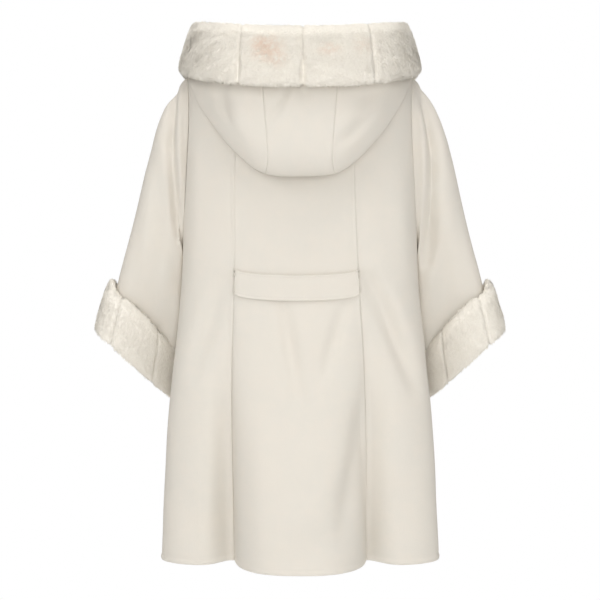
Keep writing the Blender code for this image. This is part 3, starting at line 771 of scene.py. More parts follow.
@dataclass(frozen=True)
class Ripple:
    """A slow unevenness of the cloth, or a quicker one of the fur, the same on each run."""

    seed: int
    wavelength: float
    height: float
    waves: int = 9
    spread: tuple = (0.6, 1.7)

    def at(self, points: Array) -> Array:
        """Add up the waves.

        Args:
            points: The points.

        Returns:
            How far the surface stands out at each point.
        """
        rng = np.random.default_rng(self.seed)
        total = np.zeros(points.shape[:-1])
        for _ in range(self.waves):
            way = unit(rng.normal(size=3)) * 2 * math.pi
            way = way / (self.wavelength * rng.uniform(*self.spread))
            total = total + np.sin(points @ way + rng.uniform(0, 2 * math.pi))
        return total * self.height / math.sqrt(self.waves)


@dataclass(frozen=True)
class Edge:
    """How a cloth piece ends: how far it rolls under, and the groove and lip beside its edge.

    A seam holds the cloth still, so folds fade out over the held width beside it.
    """

    held: float = 0.0
    roll: float = 0.0
    roll_width: float = 0.0015
    groove: float = 0.0
    groove_at: float = 0.004
    groove_width: float = 0.001
    lip: float = 0.0
    lip_at: float = 0.004
    lip_width: float = 0.003

    def relief(self, distance: Array) -> Array:
        """Shape the cloth beside its edge.

        Args:
            distance: Distances from the edge.

        Returns:
            How far the cloth stands out there.
        """
        roll = self.roll * np.exp(-(distance / self.roll_width) ** 2)
        groove = self.groove * np.exp(-((distance - self.groove_at) / self.groove_width) ** 2)
        lip = self.lip * np.exp(-((distance - self.lip_at) / self.lip_width) ** 2)
        return lip - roll - groove

    def freedom(self, distance: Array) -> Array:
        """Give how much of the folds the cloth takes at a distance from its edge."""
        return smooth(distance / self.held) if self.held else np.ones_like(distance)


HOOD_SEAM = Edge(held=0.008, roll=0.0001, roll_width=0.0012, lip=0.0004, lip_at=0.0036,
                 lip_width=0.0022)
LIPPED_SEAM = Edge(held=0.014, roll=0.0001, roll_width=0.0012, lip=0.0010, lip_at=0.0034,
                   lip_width=0.0022)
FLAT_SEAM = Edge(held=0.014)
DEEP_ARMHOLE = Edge(held=0.006, roll=0.0007, roll_width=0.0024)
ARMHOLE = Edge(held=0.006, roll=0.0002, roll_width=0.0020)
HEM = Edge(groove=0.0012, groove_at=0.009, groove_width=0.0014, lip=0.0010, lip_at=0.004,
           lip_width=0.0035)


def armhole_edge(side: Side) -> Edge:
    """Give the edge at an armhole, which is creased deeper on the left."""
    return DEEP_ARMHOLE if side is Side.LEFT else ARMHOLE


def normals_of(points: Array, sign: int, closed: bool = False) -> Array:
    """Give the outward normals of a grid of points.

    Args:
        points: Rows by columns by three.
        sign: 1 or -1, so that the normals point out.
        closed: Whether the last column joins the first.

    Returns:
        A normal for each point.
    """
    if closed:
        wide = np.roll(points, -1, axis=1) - np.roll(points, 1, axis=1)
    else:
        wide = np.gradient(points, axis=1)
    return sign * unit(np.cross(wide, np.gradient(points, axis=0)))


def running_length(points: Array, axis: int) -> Array:
    """Measure along a grid of points.

    Args:
        points: Rows by columns by three.
        axis: 0 to measure down the rows, 1 to measure across the columns.

    Returns:
        The distance of each point from the first row or column.
    """
    steps = np.linalg.norm(np.diff(points, axis=axis), axis=-1)
    start = np.zeros_like(np.take(steps, [0], axis=axis))
    return np.concatenate((start, np.cumsum(steps, axis=axis)), axis=axis)


def crowded(count: int, edge_steps: Iterable[float]) -> Array:
    """Give even places from 0 to 1, with a few more close to both ends.

    Args:
        count: How many even steps there are.
        edge_steps: The places close to an end, from that end.

    Returns:
        The places.
    """
    near = np.array(list(edge_steps))
    even = np.linspace(0, 1, count + 1)
    clear = near.max() * CLEAR_OF_EDGE
    even = even[(even > clear) & (even < 1 - clear)]
    return np.concatenate(((0.0,), near, even, 1 - near[::-1], (1.0,)))


def mesh_piece(name: str, points: Array, corners: Array, sizes: Array,
               finish: bpy.types.Material) -> bpy.types.Object:
    """Make an object from points and faces.

    Args:
        name: The piece's name.
        points: The points, one to a row.
        corners: The faces' corners, one face after another.
        sizes: How many corners each face has.
        finish: The piece's material.

    Returns:
        The object.
    """
    mesh = bpy.data.meshes.new(name)
    mesh.vertices.add(len(points))
    mesh.vertices.foreach_set("co", np.ascontiguousarray(points, np.float32).ravel())
    mesh.loops.add(len(corners))
    mesh.loops.foreach_set("vertex_index", np.ascontiguousarray(corners, np.int32))
    mesh.polygons.add(len(sizes))
    starts = np.concatenate(((0,), np.cumsum(sizes)[:-1]))
    mesh.polygons.foreach_set("loop_start", starts.astype(np.int32))
    mesh.update(calc_edges=True)
    mesh.validate()
    mesh.shade_smooth()
    mesh.materials.append(finish)
    made = bpy.data.objects.new(name, mesh)
    bpy.context.scene.collection.objects.link(made)
    return made


def grid_quads(rows: int, columns: int, closed: bool, flip: bool, first: int = 0) -> Array:
    """List a grid's faces.

    Args:
        rows: How many rows of points it has.
        columns: How many columns it has.
        closed: Whether the last column joins the first.
        flip: Whether the faces turn the other way.
        first: The number of the grid's first point.

    Returns:
        The faces, four corners to a row.
    """
    steps = columns if closed else columns - 1
    row, column = np.meshgrid(np.arange(rows - 1), np.arange(steps), indexing="ij")
    ahead = (column + 1) % columns
    quads = np.stack((row * columns + column, row * columns + ahead,
                      (row + 1) * columns + ahead, (row + 1) * columns + column), axis=-1)
    quads = quads.reshape(-1, 4) + first
    return quads[:, ::-1] if flip else quads


@dataclass(frozen=True)
class ClothShell:
    """Makes a thin cloth piece with rounded edges from a grid of outer points."""

    thickness: float = 0.002
    seam_gap: float = 0.00006
    edge_round: float = 0.00005

    def build(self, name: str, outer: Array, sign: int, finish: bpy.types.Material,
              closed: bool = False) -> bpy.types.Object:
        """Build one cloth piece.

        Args:
            name: The piece's name.
            outer: The outer face's points, rows by columns by three.
            sign: 1 or -1, so that the normals point out.
            finish: The piece's material.
            closed: Whether the last column joins the first.

        Returns:
            The piece.
        """
        outer = self.pulled_in(outer, closed)
        inner = outer - normals_of(outer, sign, closed) * self.thickness
        rows, columns = outer.shape[:2]
        count = rows * columns
        flip = sign > 0
        faces = [grid_quads(rows, columns, closed, flip),
                 grid_quads(rows, columns, closed, not flip, count)]
        rim, outward = self.rim(rows, columns, closed), self.outward(outer, closed)
        points = [outer.reshape(-1, 3), inner.reshape(-1, 3)]
        start = 2 * count
        for loop, way in zip(rim, outward):
            middle = (points[0][loop] + points[1][loop]) / 2 + way * self.edge_round
            points.append(middle)
            here = start + np.arange(len(loop))
            ahead = np.roll(loop, -1)
            here_ahead = np.roll(here, -1)
            above = np.stack((loop, here, here_ahead, ahead), axis=-1)
            below = np.stack((here, loop + count, ahead + count, here_ahead), axis=-1)
            faces += [above, below]
            start += len(loop)
        quads = np.concatenate(faces)
        piece = mesh_piece(name, np.concatenate(points), quads.ravel(),
                           np.full(len(quads), 4), finish)
        self.face_out(piece)
        return piece

    @staticmethod
    def face_out(piece: bpy.types.Object) -> None:
        """Turn every face of a closed piece to point out.

        Args:
            piece: The piece.
        """
        work = bmesh.new()
        work.from_mesh(piece.data)
        bmesh.ops.recalc_face_normals(work, faces=work.faces[:])
        work.to_mesh(piece.data)
        work.free()

    def pulled_in(self, outer: Array, closed: bool) -> Array:
        """Draw the edges of a grid in by half a seam gap.

        Args:
            outer: The grid.
            closed: Whether the last column joins the first.

        Returns:
            The grid with its edges drawn in.
        """
        outer = outer.copy()
        edges = [(np.s_[0, :], np.s_[1, :]), (np.s_[-1, :], np.s_[-2, :])]
        if not closed:
            edges += [(np.s_[:, 0], np.s_[:, 1]), (np.s_[:, -1], np.s_[:, -2])]
        for edge, inside in edges:
            outer[edge] += unit(outer[inside] - outer[edge]) * (self.seam_gap / 2 + self.edge_round)
        return outer

    @staticmethod
    def rim(rows: int, columns: int, closed: bool) -> list[Array]:
        """List the grid's edge points in order, round each open edge.

        Args:
            rows: How many rows of points it has.
            columns: How many columns it has.
            closed: Whether the last column joins the first.

        Returns:
            For each open edge the numbers of its points.
        """
        grid = np.arange(rows * columns).reshape(rows, columns)
        if closed:
            return [grid[0], grid[-1]]
        return [np.concatenate((grid[0, :-1], grid[:-1, -1], grid[-1, :0:-1], grid[:0:-1, 0]))]

    @staticmethod
    def outward(outer: Array, closed: bool) -> list[Array]:
        """Give the ways out of the cloth at its edge points.

        Args:
            outer: The grid.
            closed: Whether the last column joins the first.

        Returns:
            For each open edge the ways, in the order of the rim.
        """
        up, down = unit(outer[0] - outer[1]), unit(outer[-1] - outer[-2])
        if closed:
            return [up, down]
        first, last = unit(outer[:, 0] - outer[:, 1]), unit(outer[:, -1] - outer[:, -2])
        return [np.concatenate((up[:-1], last[:-1], down[:0:-1], first[:0:-1]))]


def worked(points: Array, sign: int, folds: Iterable[Fold], edges: dict[str, Edge],
           ripple: Ripple, closed: bool = False, where: Optional[Array] = None) -> Array:
    """Work folds, edges and unevenness into a cloth surface.

    Args:
        points: The plain surface, rows by columns by three.
        sign: 1 or -1, so that the normals point out.
        folds: The folds.
        edges: The finish of the edges named first, last, top and bottom.
        ripple: The cloth's slow unevenness.
        closed: Whether the last column joins the first.
        where: How much of the folds each point takes.

    Returns:
        The worked surface.
    """
    x, z = points[..., 0], points[..., 2]
    creased = sum((fold.relief(x, z) for fold in folds), np.zeros_like(x))
    relief = ripple.at(points) + (creased if where is None else creased * where)
    across, down = running_length(points, 1), running_length(points, 0)
    distances = {"first": across, "last": across[:, -1:] - across,
                 "top": down, "bottom": down[-1:] - down}
    for name, edge in edges.items():
        relief = relief * edge.freedom(distances[name])
    for name, edge in edges.items():
        relief = relief + edge.relief(distances[name])
    return points + normals_of(points, sign, closed) * relief[..., None]


def declare_sheet(outer: Array,
                  closed: bool = False) -> None:
    """Measure a piece as a sheet of cloth: its width, its length and its area, which go no further.

    Args:
        outer: The points of its outer face.
        closed: Whether the last column joins the first.
    """
    ring = np.concatenate((outer, outer[:, :1]), axis=1) if closed else outer
    width = float(running_length(ring, 1)[:, -1].max())
    length = float(running_length(ring, 0)[-1].max())
    sides = ring[1:, :-1] - ring[:-1, :-1], ring[:-1, 1:] - ring[:-1, :-1]
    area = float(np.linalg.norm(np.cross(*sides), axis=-1).sum())
    area = min(max(area, LEAST_CUT * width * length), width * length)


def dress(piece: bpy.types.Object, node: str) -> None:
    """Let a piece ride on the coat and stand for its solid.

    Args:
        piece: The piece.
        node: The solid that it stands for.
    """
    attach(piece, "root")
    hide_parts(node)
    LOG.info("%s: %d faces", piece.name, len(piece.data.polygons))


@dataclass(frozen=True)
class Grain:
    """A noise of a finish, with the two limits that spread it over 0 to 1."""

    cells: float
    detail: float = 3.0
    roughness: float = 0.5
    low: float = 0.0
    high: float = 1.0
    stretch: tuple = (1.0, 1.0, 1.0)


class Nodes:
    """Short calls for building a material's nodes."""

    def __init__(self, name: str) -> None:
        """Start a material with its shader and the coordinates of the row frame.

        Args:
            name: The material's name.
        """
        self.material = bpy.data.materials.new(name)
        self.material.use_nodes = True
        self.tree = self.material.node_tree
        self.shader = self.tree.nodes["Principled BSDF"]
        self.place = self.add("ShaderNodeTexCoord", {}).outputs["Object"]

    def add(self, kind: str, values: dict, **settings: str) -> bpy.types.Node:
        """Add a node.

        Args:
            kind: The node's type.
            values: Its inputs, as fill takes them.
            settings: Its own settings.

        Returns:
            The node.
        """
        node = self.tree.nodes.new(kind)
        for name, setting in settings.items():
            setattr(node, name, setting)
        self.fill(node, values)
        return node

    def fill(self, node: bpy.types.Node, values: dict) -> None:
        """Fill a node's inputs.

        Args:
            node: The node.
            values: For each input, by name or number, its value or another node's output.
        """
        for name, value in values.items():
            if isinstance(value, bpy.types.NodeSocket):
                self.tree.links.new(value, node.inputs[name])
            else:
                node.inputs[name].default_value = value

    def noise(self, grain: Grain) -> bpy.types.NodeSocket:
        """Add a noise.

        Args:
            grain: Its cells to the metre, its detail, its roughness and its stretch.

        Returns:
            Its value.
        """
        mapping = self.add("ShaderNodeMapping", {"Vector": self.place, "Scale": grain.stretch})
        values = {"Vector": mapping.outputs["Vector"], "Scale": grain.cells,
                  "Detail": grain.detail, "Roughness": grain.roughness}
        return self.add("ShaderNodeTexNoise", values).outputs["Fac"]

    def spread(self, value: bpy.types.NodeSocket, low: float, high: float
               ) -> bpy.types.NodeSocket:
        """Spread the values between two limits.

        Args:
            value: The values.
            low: The limit that becomes 0.
            high: The limit that becomes 1.

        Returns:
            The spread values.
        """
        values = {"Value": value, "From Min": low, "From Max": high}
        node = self.add("ShaderNodeMapRange", values, interpolation_type="SMOOTHSTEP")
        return node.outputs["Result"]

    def patchy(self, grain: Grain) -> bpy.types.NodeSocket:
        """Give a noise spread between its own two limits."""
        return self.spread(self.noise(grain), grain.low, grain.high)

    def blend(self, factor: bpy.types.NodeSocket, first: tuple | bpy.types.NodeSocket,
              second: tuple) -> bpy.types.NodeSocket:
        """Mix two colours.

        Args:
            factor: How much of the second colour shows.
            first: The first colour, or a node's colour.
            second: The second colour.

        Returns:
            The mixed colour.
        """
        first = (*first, 1.0) if isinstance(first, tuple) else first
        values = {"Factor": factor, "A": first, "B": (*second, 1.0)}
        return self.add("ShaderNodeMix", values, data_type="RGBA").outputs["Result"]

    def product(self, first: bpy.types.NodeSocket, second: float | bpy.types.NodeSocket
                ) -> bpy.types.NodeSocket:
        """Multiply a value by a number or another value."""
        node = self.add("ShaderNodeMath", {0: first, 1: second}, operation="MULTIPLY")
        return node.outputs["Value"]

    def bump(self, layers: Iterable[tuple]) -> None:
        """Add bumps to the shader.

        Args:
            layers: For each bump its value, its depth in metres and its strength.
        """
        below = {}
        for value, distance, strength in layers:
            values = {"Height": value, "Distance": distance, "Strength": strength, **below}
            below = {"Normal": self.add("ShaderNodeBump", values).outputs["Normal"]}
        self.fill(self.shader, below)

    def near(self, place: tuple, radius: tuple) -> bpy.types.NodeSocket:
        """Mark a place.

        Args:
            place: The place.
            radius: Its radius along each axis.

        Returns:
            1 at the place, fading to 0 at the radius.
        """
        mapping = self.add("ShaderNodeMapping", {
            "Vector": self.place, "Scale": tuple(1 / r for r in radius),
            "Location": tuple(-p / r for p, r in zip(place, radius))})
        length = self.add("ShaderNodeVectorMath", {0: mapping.outputs["Vector"]},
                          operation="LENGTH")
        return self.spread(length.outputs["Value"], 1.0, 0.0)


@dataclass(frozen=True)
class WoolFinish:
    """Off-white double-faced wool: matt, with a short brushed nap."""

    name: str = "wool"
    colour: tuple = (0.676, 0.634, 0.565)
    cool: tuple = (0.656, 0.621, 0.557)
    warm: tuple = (0.690, 0.639, 0.565)
    speck: tuple = (0.613, 0.572, 0.503)
    cool_part: float = 0.8
    warm_part: float = 0.55
    speck_part: float = 0.30
    slow: Grain = Grain(7.0, 2.0, low=0.35, high=0.68)
    cloud: Grain = Grain(38.0, 4.0, 0.6, 0.38, 0.72)
    fibre: Grain = Grain(900.0, 3.0, 0.65, 0.55, 0.80, (1.0, 1.0, 0.35))
    felt: Grain = Grain(260.0, 4.0, 0.6)
    felt_bump: tuple = (0.0004, 0.35)
    fibre_bump: tuple = (0.0003, 0.45)
    roughness: float = 0.92
    specular: float = 0.22
    sheen: float = 0.06
    sheen_roughness: float = 0.6
    sheen_tint: tuple = (1.0, 0.97, 0.92, 1.0)

    def make(self) -> bpy.types.Material:
        """Make the wool's material.

        Returns:
            The material.
        """
        nodes = Nodes(self.name)
        cool = nodes.product(nodes.patchy(self.slow), self.cool_part)
        warm = nodes.product(nodes.patchy(self.cloud), self.warm_part)
        fibre = nodes.noise(self.fibre)
        speck = nodes.spread(fibre, self.fibre.low, self.fibre.high)
        colour = nodes.blend(cool, self.colour, self.cool)
        colour = nodes.blend(warm, colour, self.warm)
        colour = nodes.blend(nodes.product(speck, self.speck_part), colour, self.speck)
        nodes.fill(nodes.shader, {
            "Base Color": colour, "Roughness": self.roughness,
            "Specular IOR Level": self.specular, "Sheen Weight": self.sheen,
            "Sheen Roughness": self.sheen_roughness, "Sheen Tint": self.sheen_tint})
        nodes.bump(((nodes.noise(self.felt), *self.felt_bump), (fibre, *self.fibre_bump)))
        return nodes.material


@dataclass(frozen=True)
class FurFinish:
    """Dense sheared fur: off-white, with a few warmer patches."""

    name: str = "fur"
    colour: tuple = (0.892, 0.848, 0.760)
    shade: tuple = (0.828, 0.775, 0.688)
    blush: tuple = (0.800, 0.640, 0.520)
    patches: tuple = (
        ((-0.055, -0.170, -0.016), (0.042, 0.080, 0.036), 1.00),
        ((-0.066, -0.170, -0.008), (0.022, 0.080, 0.018), 0.80),
        ((-0.036, -0.170, -0.036), (0.026, 0.080, 0.022), 0.60),
        ((0.048, -0.170, -0.018), (0.030, 0.080, 0.018), 0.60),
        ((0.104, -0.150, -0.010), (0.024, 0.080, 0.026), 0.40),
    )
    clump_part: float = 0.50
    strand_part: float = 0.70
    clump: Grain = Grain(70.0, 4.0, 0.6, 0.35, 0.75)
    strand: Grain = Grain(330.0, 4.0, 0.7, 0.40, 0.72)
    mottle: Grain = Grain(110.0, 5.0, 0.7, 0.32, 0.60)
    down: Grain = Grain(700.0, 3.0, 0.6)
    down_bump: tuple = (0.0004, 0.5)
    roughness: float = 0.85
    specular: float = 0.20
    sheen: float = 0.10
    sheen_roughness: float = 0.7
    sheen_tint: tuple = (1.0, 0.96, 0.90, 1.0)

    def make(self) -> bpy.types.Material:
        """Make the fur's material.

        Returns:
            The material.
        """
        nodes = Nodes(self.name)
        colour = self.colour
        for grain, part in ((self.clump, self.clump_part), (self.strand, self.strand_part)):
            colour = nodes.blend(nodes.product(nodes.patchy(grain), part), colour, self.shade)
        mottle = nodes.patchy(self.mottle)
        for place, radius, strength in self.patches:
            patch = nodes.product(nodes.product(nodes.near(place, radius), mottle), strength)
            colour = nodes.blend(patch, colour, self.blush)
        nodes.fill(nodes.shader, {
            "Base Color": colour, "Roughness": self.roughness,
            "Specular IOR Level": self.specular, "Sheen Weight": self.sheen,
            "Sheen Roughness": self.sheen_roughness, "Sheen Tint": self.sheen_tint})
        nodes.bump(((nodes.noise(self.down), *self.down_bump),))
        return nodes.material


@dataclass(frozen=True)
class BodyPanels:
    """The back's centre panel, the two back side panels and the two fronts."""

    cut: CoatCut = CoatCut()
    shell: ClothShell = ClothShell()
    rows: int = 150
    centre_columns: int = 52
    side_columns: int = 32
    front_columns: int = 44
    seam_steps: tuple = (0.004, 0.009, 0.015, 0.022, 0.031, 0.042)
    end_steps: tuple = (0.0012, 0.003, 0.005, 0.0075, 0.0105, 0.014)
    centre_ripple: Ripple = Ripple(3, 0.16, 0.0005)
    side_ripple: Ripple = Ripple(5, 0.16, 0.0005)
    front_ripple: Ripple = Ripple(7, 0.16, 0.0005)
    folds_below: float = 0.06
    folds_fade: float = 0.05

    def build(self, finish: bpy.types.Material) -> None:
        """Build and dress the five panels.

        Args:
            finish: The wool's material.
        """
        cut = self.cut
        self.panel("back_centre", cut.back_centre, self.centre_columns, -1, BACK_FOLDS,
                   {"first": FLAT_SEAM, "last": LIPPED_SEAM, "bottom": HEM},
                   self.centre_ripple, finish)
        for side in Side:
            long_seam = LIPPED_SEAM if side is Side.LEFT else FLAT_SEAM
            self.panel(f"back_side_{side.word}", partial(cut.back_side, side.value),
                       self.side_columns, -side.value, BACK_FOLDS,
                       {"first": long_seam, "last": armhole_edge(side), "bottom": HEM},
                       self.side_ripple, finish)
            self.panel(f"front_{side.word}", partial(cut.front, side.value),
                       self.front_columns, -side.value, FRONT_FOLDS,
                       {"first": FLAT_SEAM, "last": HEM, "bottom": HEM},
                       self.front_ripple, finish)

    def panel(self, name: str, surface: Surface, columns: int, sign: int, folds: tuple,
              edges: dict[str, Edge], ripple: Ripple, finish: bpy.types.Material) -> None:
        """Build and dress one panel.

        Args:
            name: The solid that it stands for.
            surface: The panel's plain surface.
            columns: How many even steps it has across.
            sign: 1 or -1, so that the normals point out.
            folds: Its folds.
            edges: The finish of its edges.
            ripple: Its unevenness.
            finish: The wool's material.
        """
        across, down = np.meshgrid(crowded(columns, self.seam_steps),
                                   crowded(self.rows, self.end_steps))
        points = surface(across, down)
        where = smooth((-points[..., 2] - self.folds_below) / self.folds_fade)
        points = worked(points, sign, folds, edges, ripple, where=where)
        piece = self.shell.build(f"{name}_cloth", points, sign, finish)
        dress(piece, name)
        declare_sheet(points)


@dataclass(frozen=True)
class Sleeves:
    """The two wide sleeves, each a tube from the armhole to its open end."""

    cut: CoatCut = CoatCut()
    shell: ClothShell = ClothShell()
    turns: int = 108
    rows: int = 90
    end_steps: tuple = (0.0025, 0.006, 0.011)
    ripple: Ripple = Ripple(11, 0.14, 0.0005)
    held: float = 0.05
    laid_back: float = 0.017
    laid_in: float = 0.008
    laid_turn: float = 152
    laid_width: float = 30
    laid_ends: tuple = (0.12, 0.80, 0.10)

    def laid(self, side: Side, points: Array, turn: Array, along: Array) -> Array:
        """Bring the back of the under edge up beside the body, as the sleeve hangs.

        Args:
            side: The sleeve's side.
            points: The sleeve's points.
            turn: Their place round the sleeve.
            along: Their place down the sleeve.

        Returns:
            The moved points.
        """
        start, stop, fade = self.laid_ends
        off = (np.degrees(turn) - self.laid_turn) / self.laid_width
        part = np.exp(-off * off) * smooth(along / start) * smooth((stop + fade - along) / fade)
        way = np.array((-side.value * self.laid_in, -self.laid_back, 0.0))
        return points + part[..., None] * way

    def build(self, finish: bpy.types.Material) -> None:
        """Build and dress both sleeves.

        Args:
            finish: The wool's material.
        """
        turns = np.linspace(0, 2 * math.pi, self.turns, endpoint=False)
        turn, along = np.meshgrid(turns, crowded(self.rows, self.end_steps))
        for side, folds in ((Side.LEFT, LEFT_SLEEVE_FOLDS), (Side.RIGHT, RIGHT_SLEEVE_FOLDS)):
            name, sign = f"sleeve_{side.word}", side.value
            points = self.laid(side, self.cut.sleeve(sign, turn, along), turn, along)
            points = worked(points, sign, folds, {"top": armhole_edge(side)}, self.ripple,
                            closed=True, where=smooth(along / self.held))
            piece = self.shell.build(f"{name}_cloth", points, sign, finish, closed=True)
            dress(piece, name)
            declare_sheet(points, closed=True)


@dataclass(frozen=True)
class Hood:
    """The lowered hood's centre panel and its two sides."""

    cut: HoodCut = HoodCut()
    shell: ClothShell = ClothShell()
    rows: int = 120
    centre_columns: int = 24
    side_columns: int = 70
    seam_steps: tuple = (0.006, 0.014, 0.024, 0.036)
    ripple: Ripple = Ripple(13, 0.09, 0.0005)
    folds_from: float = 0.60
    folds_fade: float = 0.06
    fur_covers: float = 0.985
    fur_fade: float = 0.03

    def build(self, finish: bpy.types.Material) -> None:
        """Build and dress the three panels.

        Args:
            finish: The wool's material.
        """
        seam, end = self.cut.seam_station, self.cut.end_station
        self.panel("hood_centre", -seam, seam, self.centre_columns, finish)
        self.panel("hood_side_left", -end, -seam, self.side_columns, finish)
        self.panel("hood_side_right", seam, end, self.side_columns, finish)

    def panel(self, name: str, first: float, last: float, columns: int,
              finish: bpy.types.Material) -> None:
        """Build and dress one panel between two stations.

        Args:
            name: The solid that it stands for.
            first: The station of its left seam.
            last: The station of its right seam.
            columns: How many even steps it has across.
            finish: The wool's material.
        """
        stations = mix(first, last, crowded(columns, self.seam_steps))
        down = np.linspace(0, 1, self.rows)
        points = self.cut.surface(stations, down)
        outside = smooth((down - self.folds_from) / self.folds_fade)
        outside = outside * smooth((self.fur_covers - down) / self.fur_fade)
        points = worked(points, 1, HOOD_FOLDS, {"first": HOOD_SEAM, "last": HOOD_SEAM},
                        self.ripple, where=outside[:, None])
        piece = self.shell.build(f"{name}_cloth", points, 1, finish)
        dress(piece, name)
        declare_sheet(points)


@dataclass(frozen=True)
class HalfBelt:
    """The half belt, held in the long seams of the back."""

    cut: CoatCut = CoatCut()
    middle: float = -0.4040
    sag: float = 0.011
    height: float = 0.0455
    thickness: float = 0.0028
    edge_round: float = 0.0008
    lift: float = 0.0006
    seat: float = 0.0007
    bridge: float = 0.030
    first: float = 0.001
    last: float = 0.999
    corner: float = 0.030
    corner_drop: float = 0.0055
    upper_corner: float = 0.3
    columns: int = 110
    rows: int = 36
    across_steps: tuple = (0.0055, 0.0085, 0.012, 0.016, 0.021)
    down_steps: tuple = (0.025, 0.045, 0.07, 0.10, 0.14)
    ripple: Ripple = Ripple(17, 0.03, 0.0002)
    edge: Edge = Edge(roll=0.0007, roll_width=0.0014, groove=0.0006, groove_at=0.0048,
                      groove_width=0.0010, lip=0.0004, lip_at=0.0024, lip_width=0.0016)

    def build(self, finish: bpy.types.Material) -> None:
        """Build and dress the belt.

        Args:
            finish: The wool's material.
        """
        across = mix(self.first, self.last, crowded(self.columns, self.across_steps))
        height = crowded(self.rows, self.down_steps)
        lift = np.sin(math.pi * across)
        end = np.minimum(across - self.first, self.last - across) / self.corner
        cut_off = self.corner_drop * (1 - np.sqrt(1 - np.clip(1 - end, 0, 1) ** 2))
        top_z = self.cut.back_centre(across, np.zeros_like(across))[:, 2]
        middle = self.middle - self.sag * lift
        high = middle + self.height / 2 - cut_off * self.upper_corner
        low = middle - self.height / 2 + cut_off
        z = mix(high[None, :], low[None, :], height[:, None])
        down = self.cut.rows_down(top_z - z, top_z - self.cut.hem)
        place = np.broadcast_to(across, z.shape)
        ground = self.cut.back_centre(place, down)
        inner = np.clip(place, self.bridge, 1 - self.bridge)
        ground[..., 1] = self.cut.back_centre(inner, down)[..., 1]
        away = self.seat + self.thickness + self.lift * np.broadcast_to(lift, z.shape)
        points = ground - np.array((0.0, 1.0, 0.0)) * away[..., None]
        edges = {name: self.edge for name in ("first", "last", "top", "bottom")}
        points = worked(points, -1, (), edges, self.ripple)
        shell = ClothShell(thickness=self.thickness, edge_round=self.edge_round)
        piece = shell.build("half_belt_cloth", points, -1, finish)
        dress(piece, "half_belt")
        declare_sheet(points)


@dataclass(frozen=True)
class FurSeam:
    """A seam at a fur piece's end, and how much the strands close it low down and high up.

    Below 0 the strands lean away from the seam and leave it open.
    """

    at: float
    low: float = 0.8
    high: float = 0.8


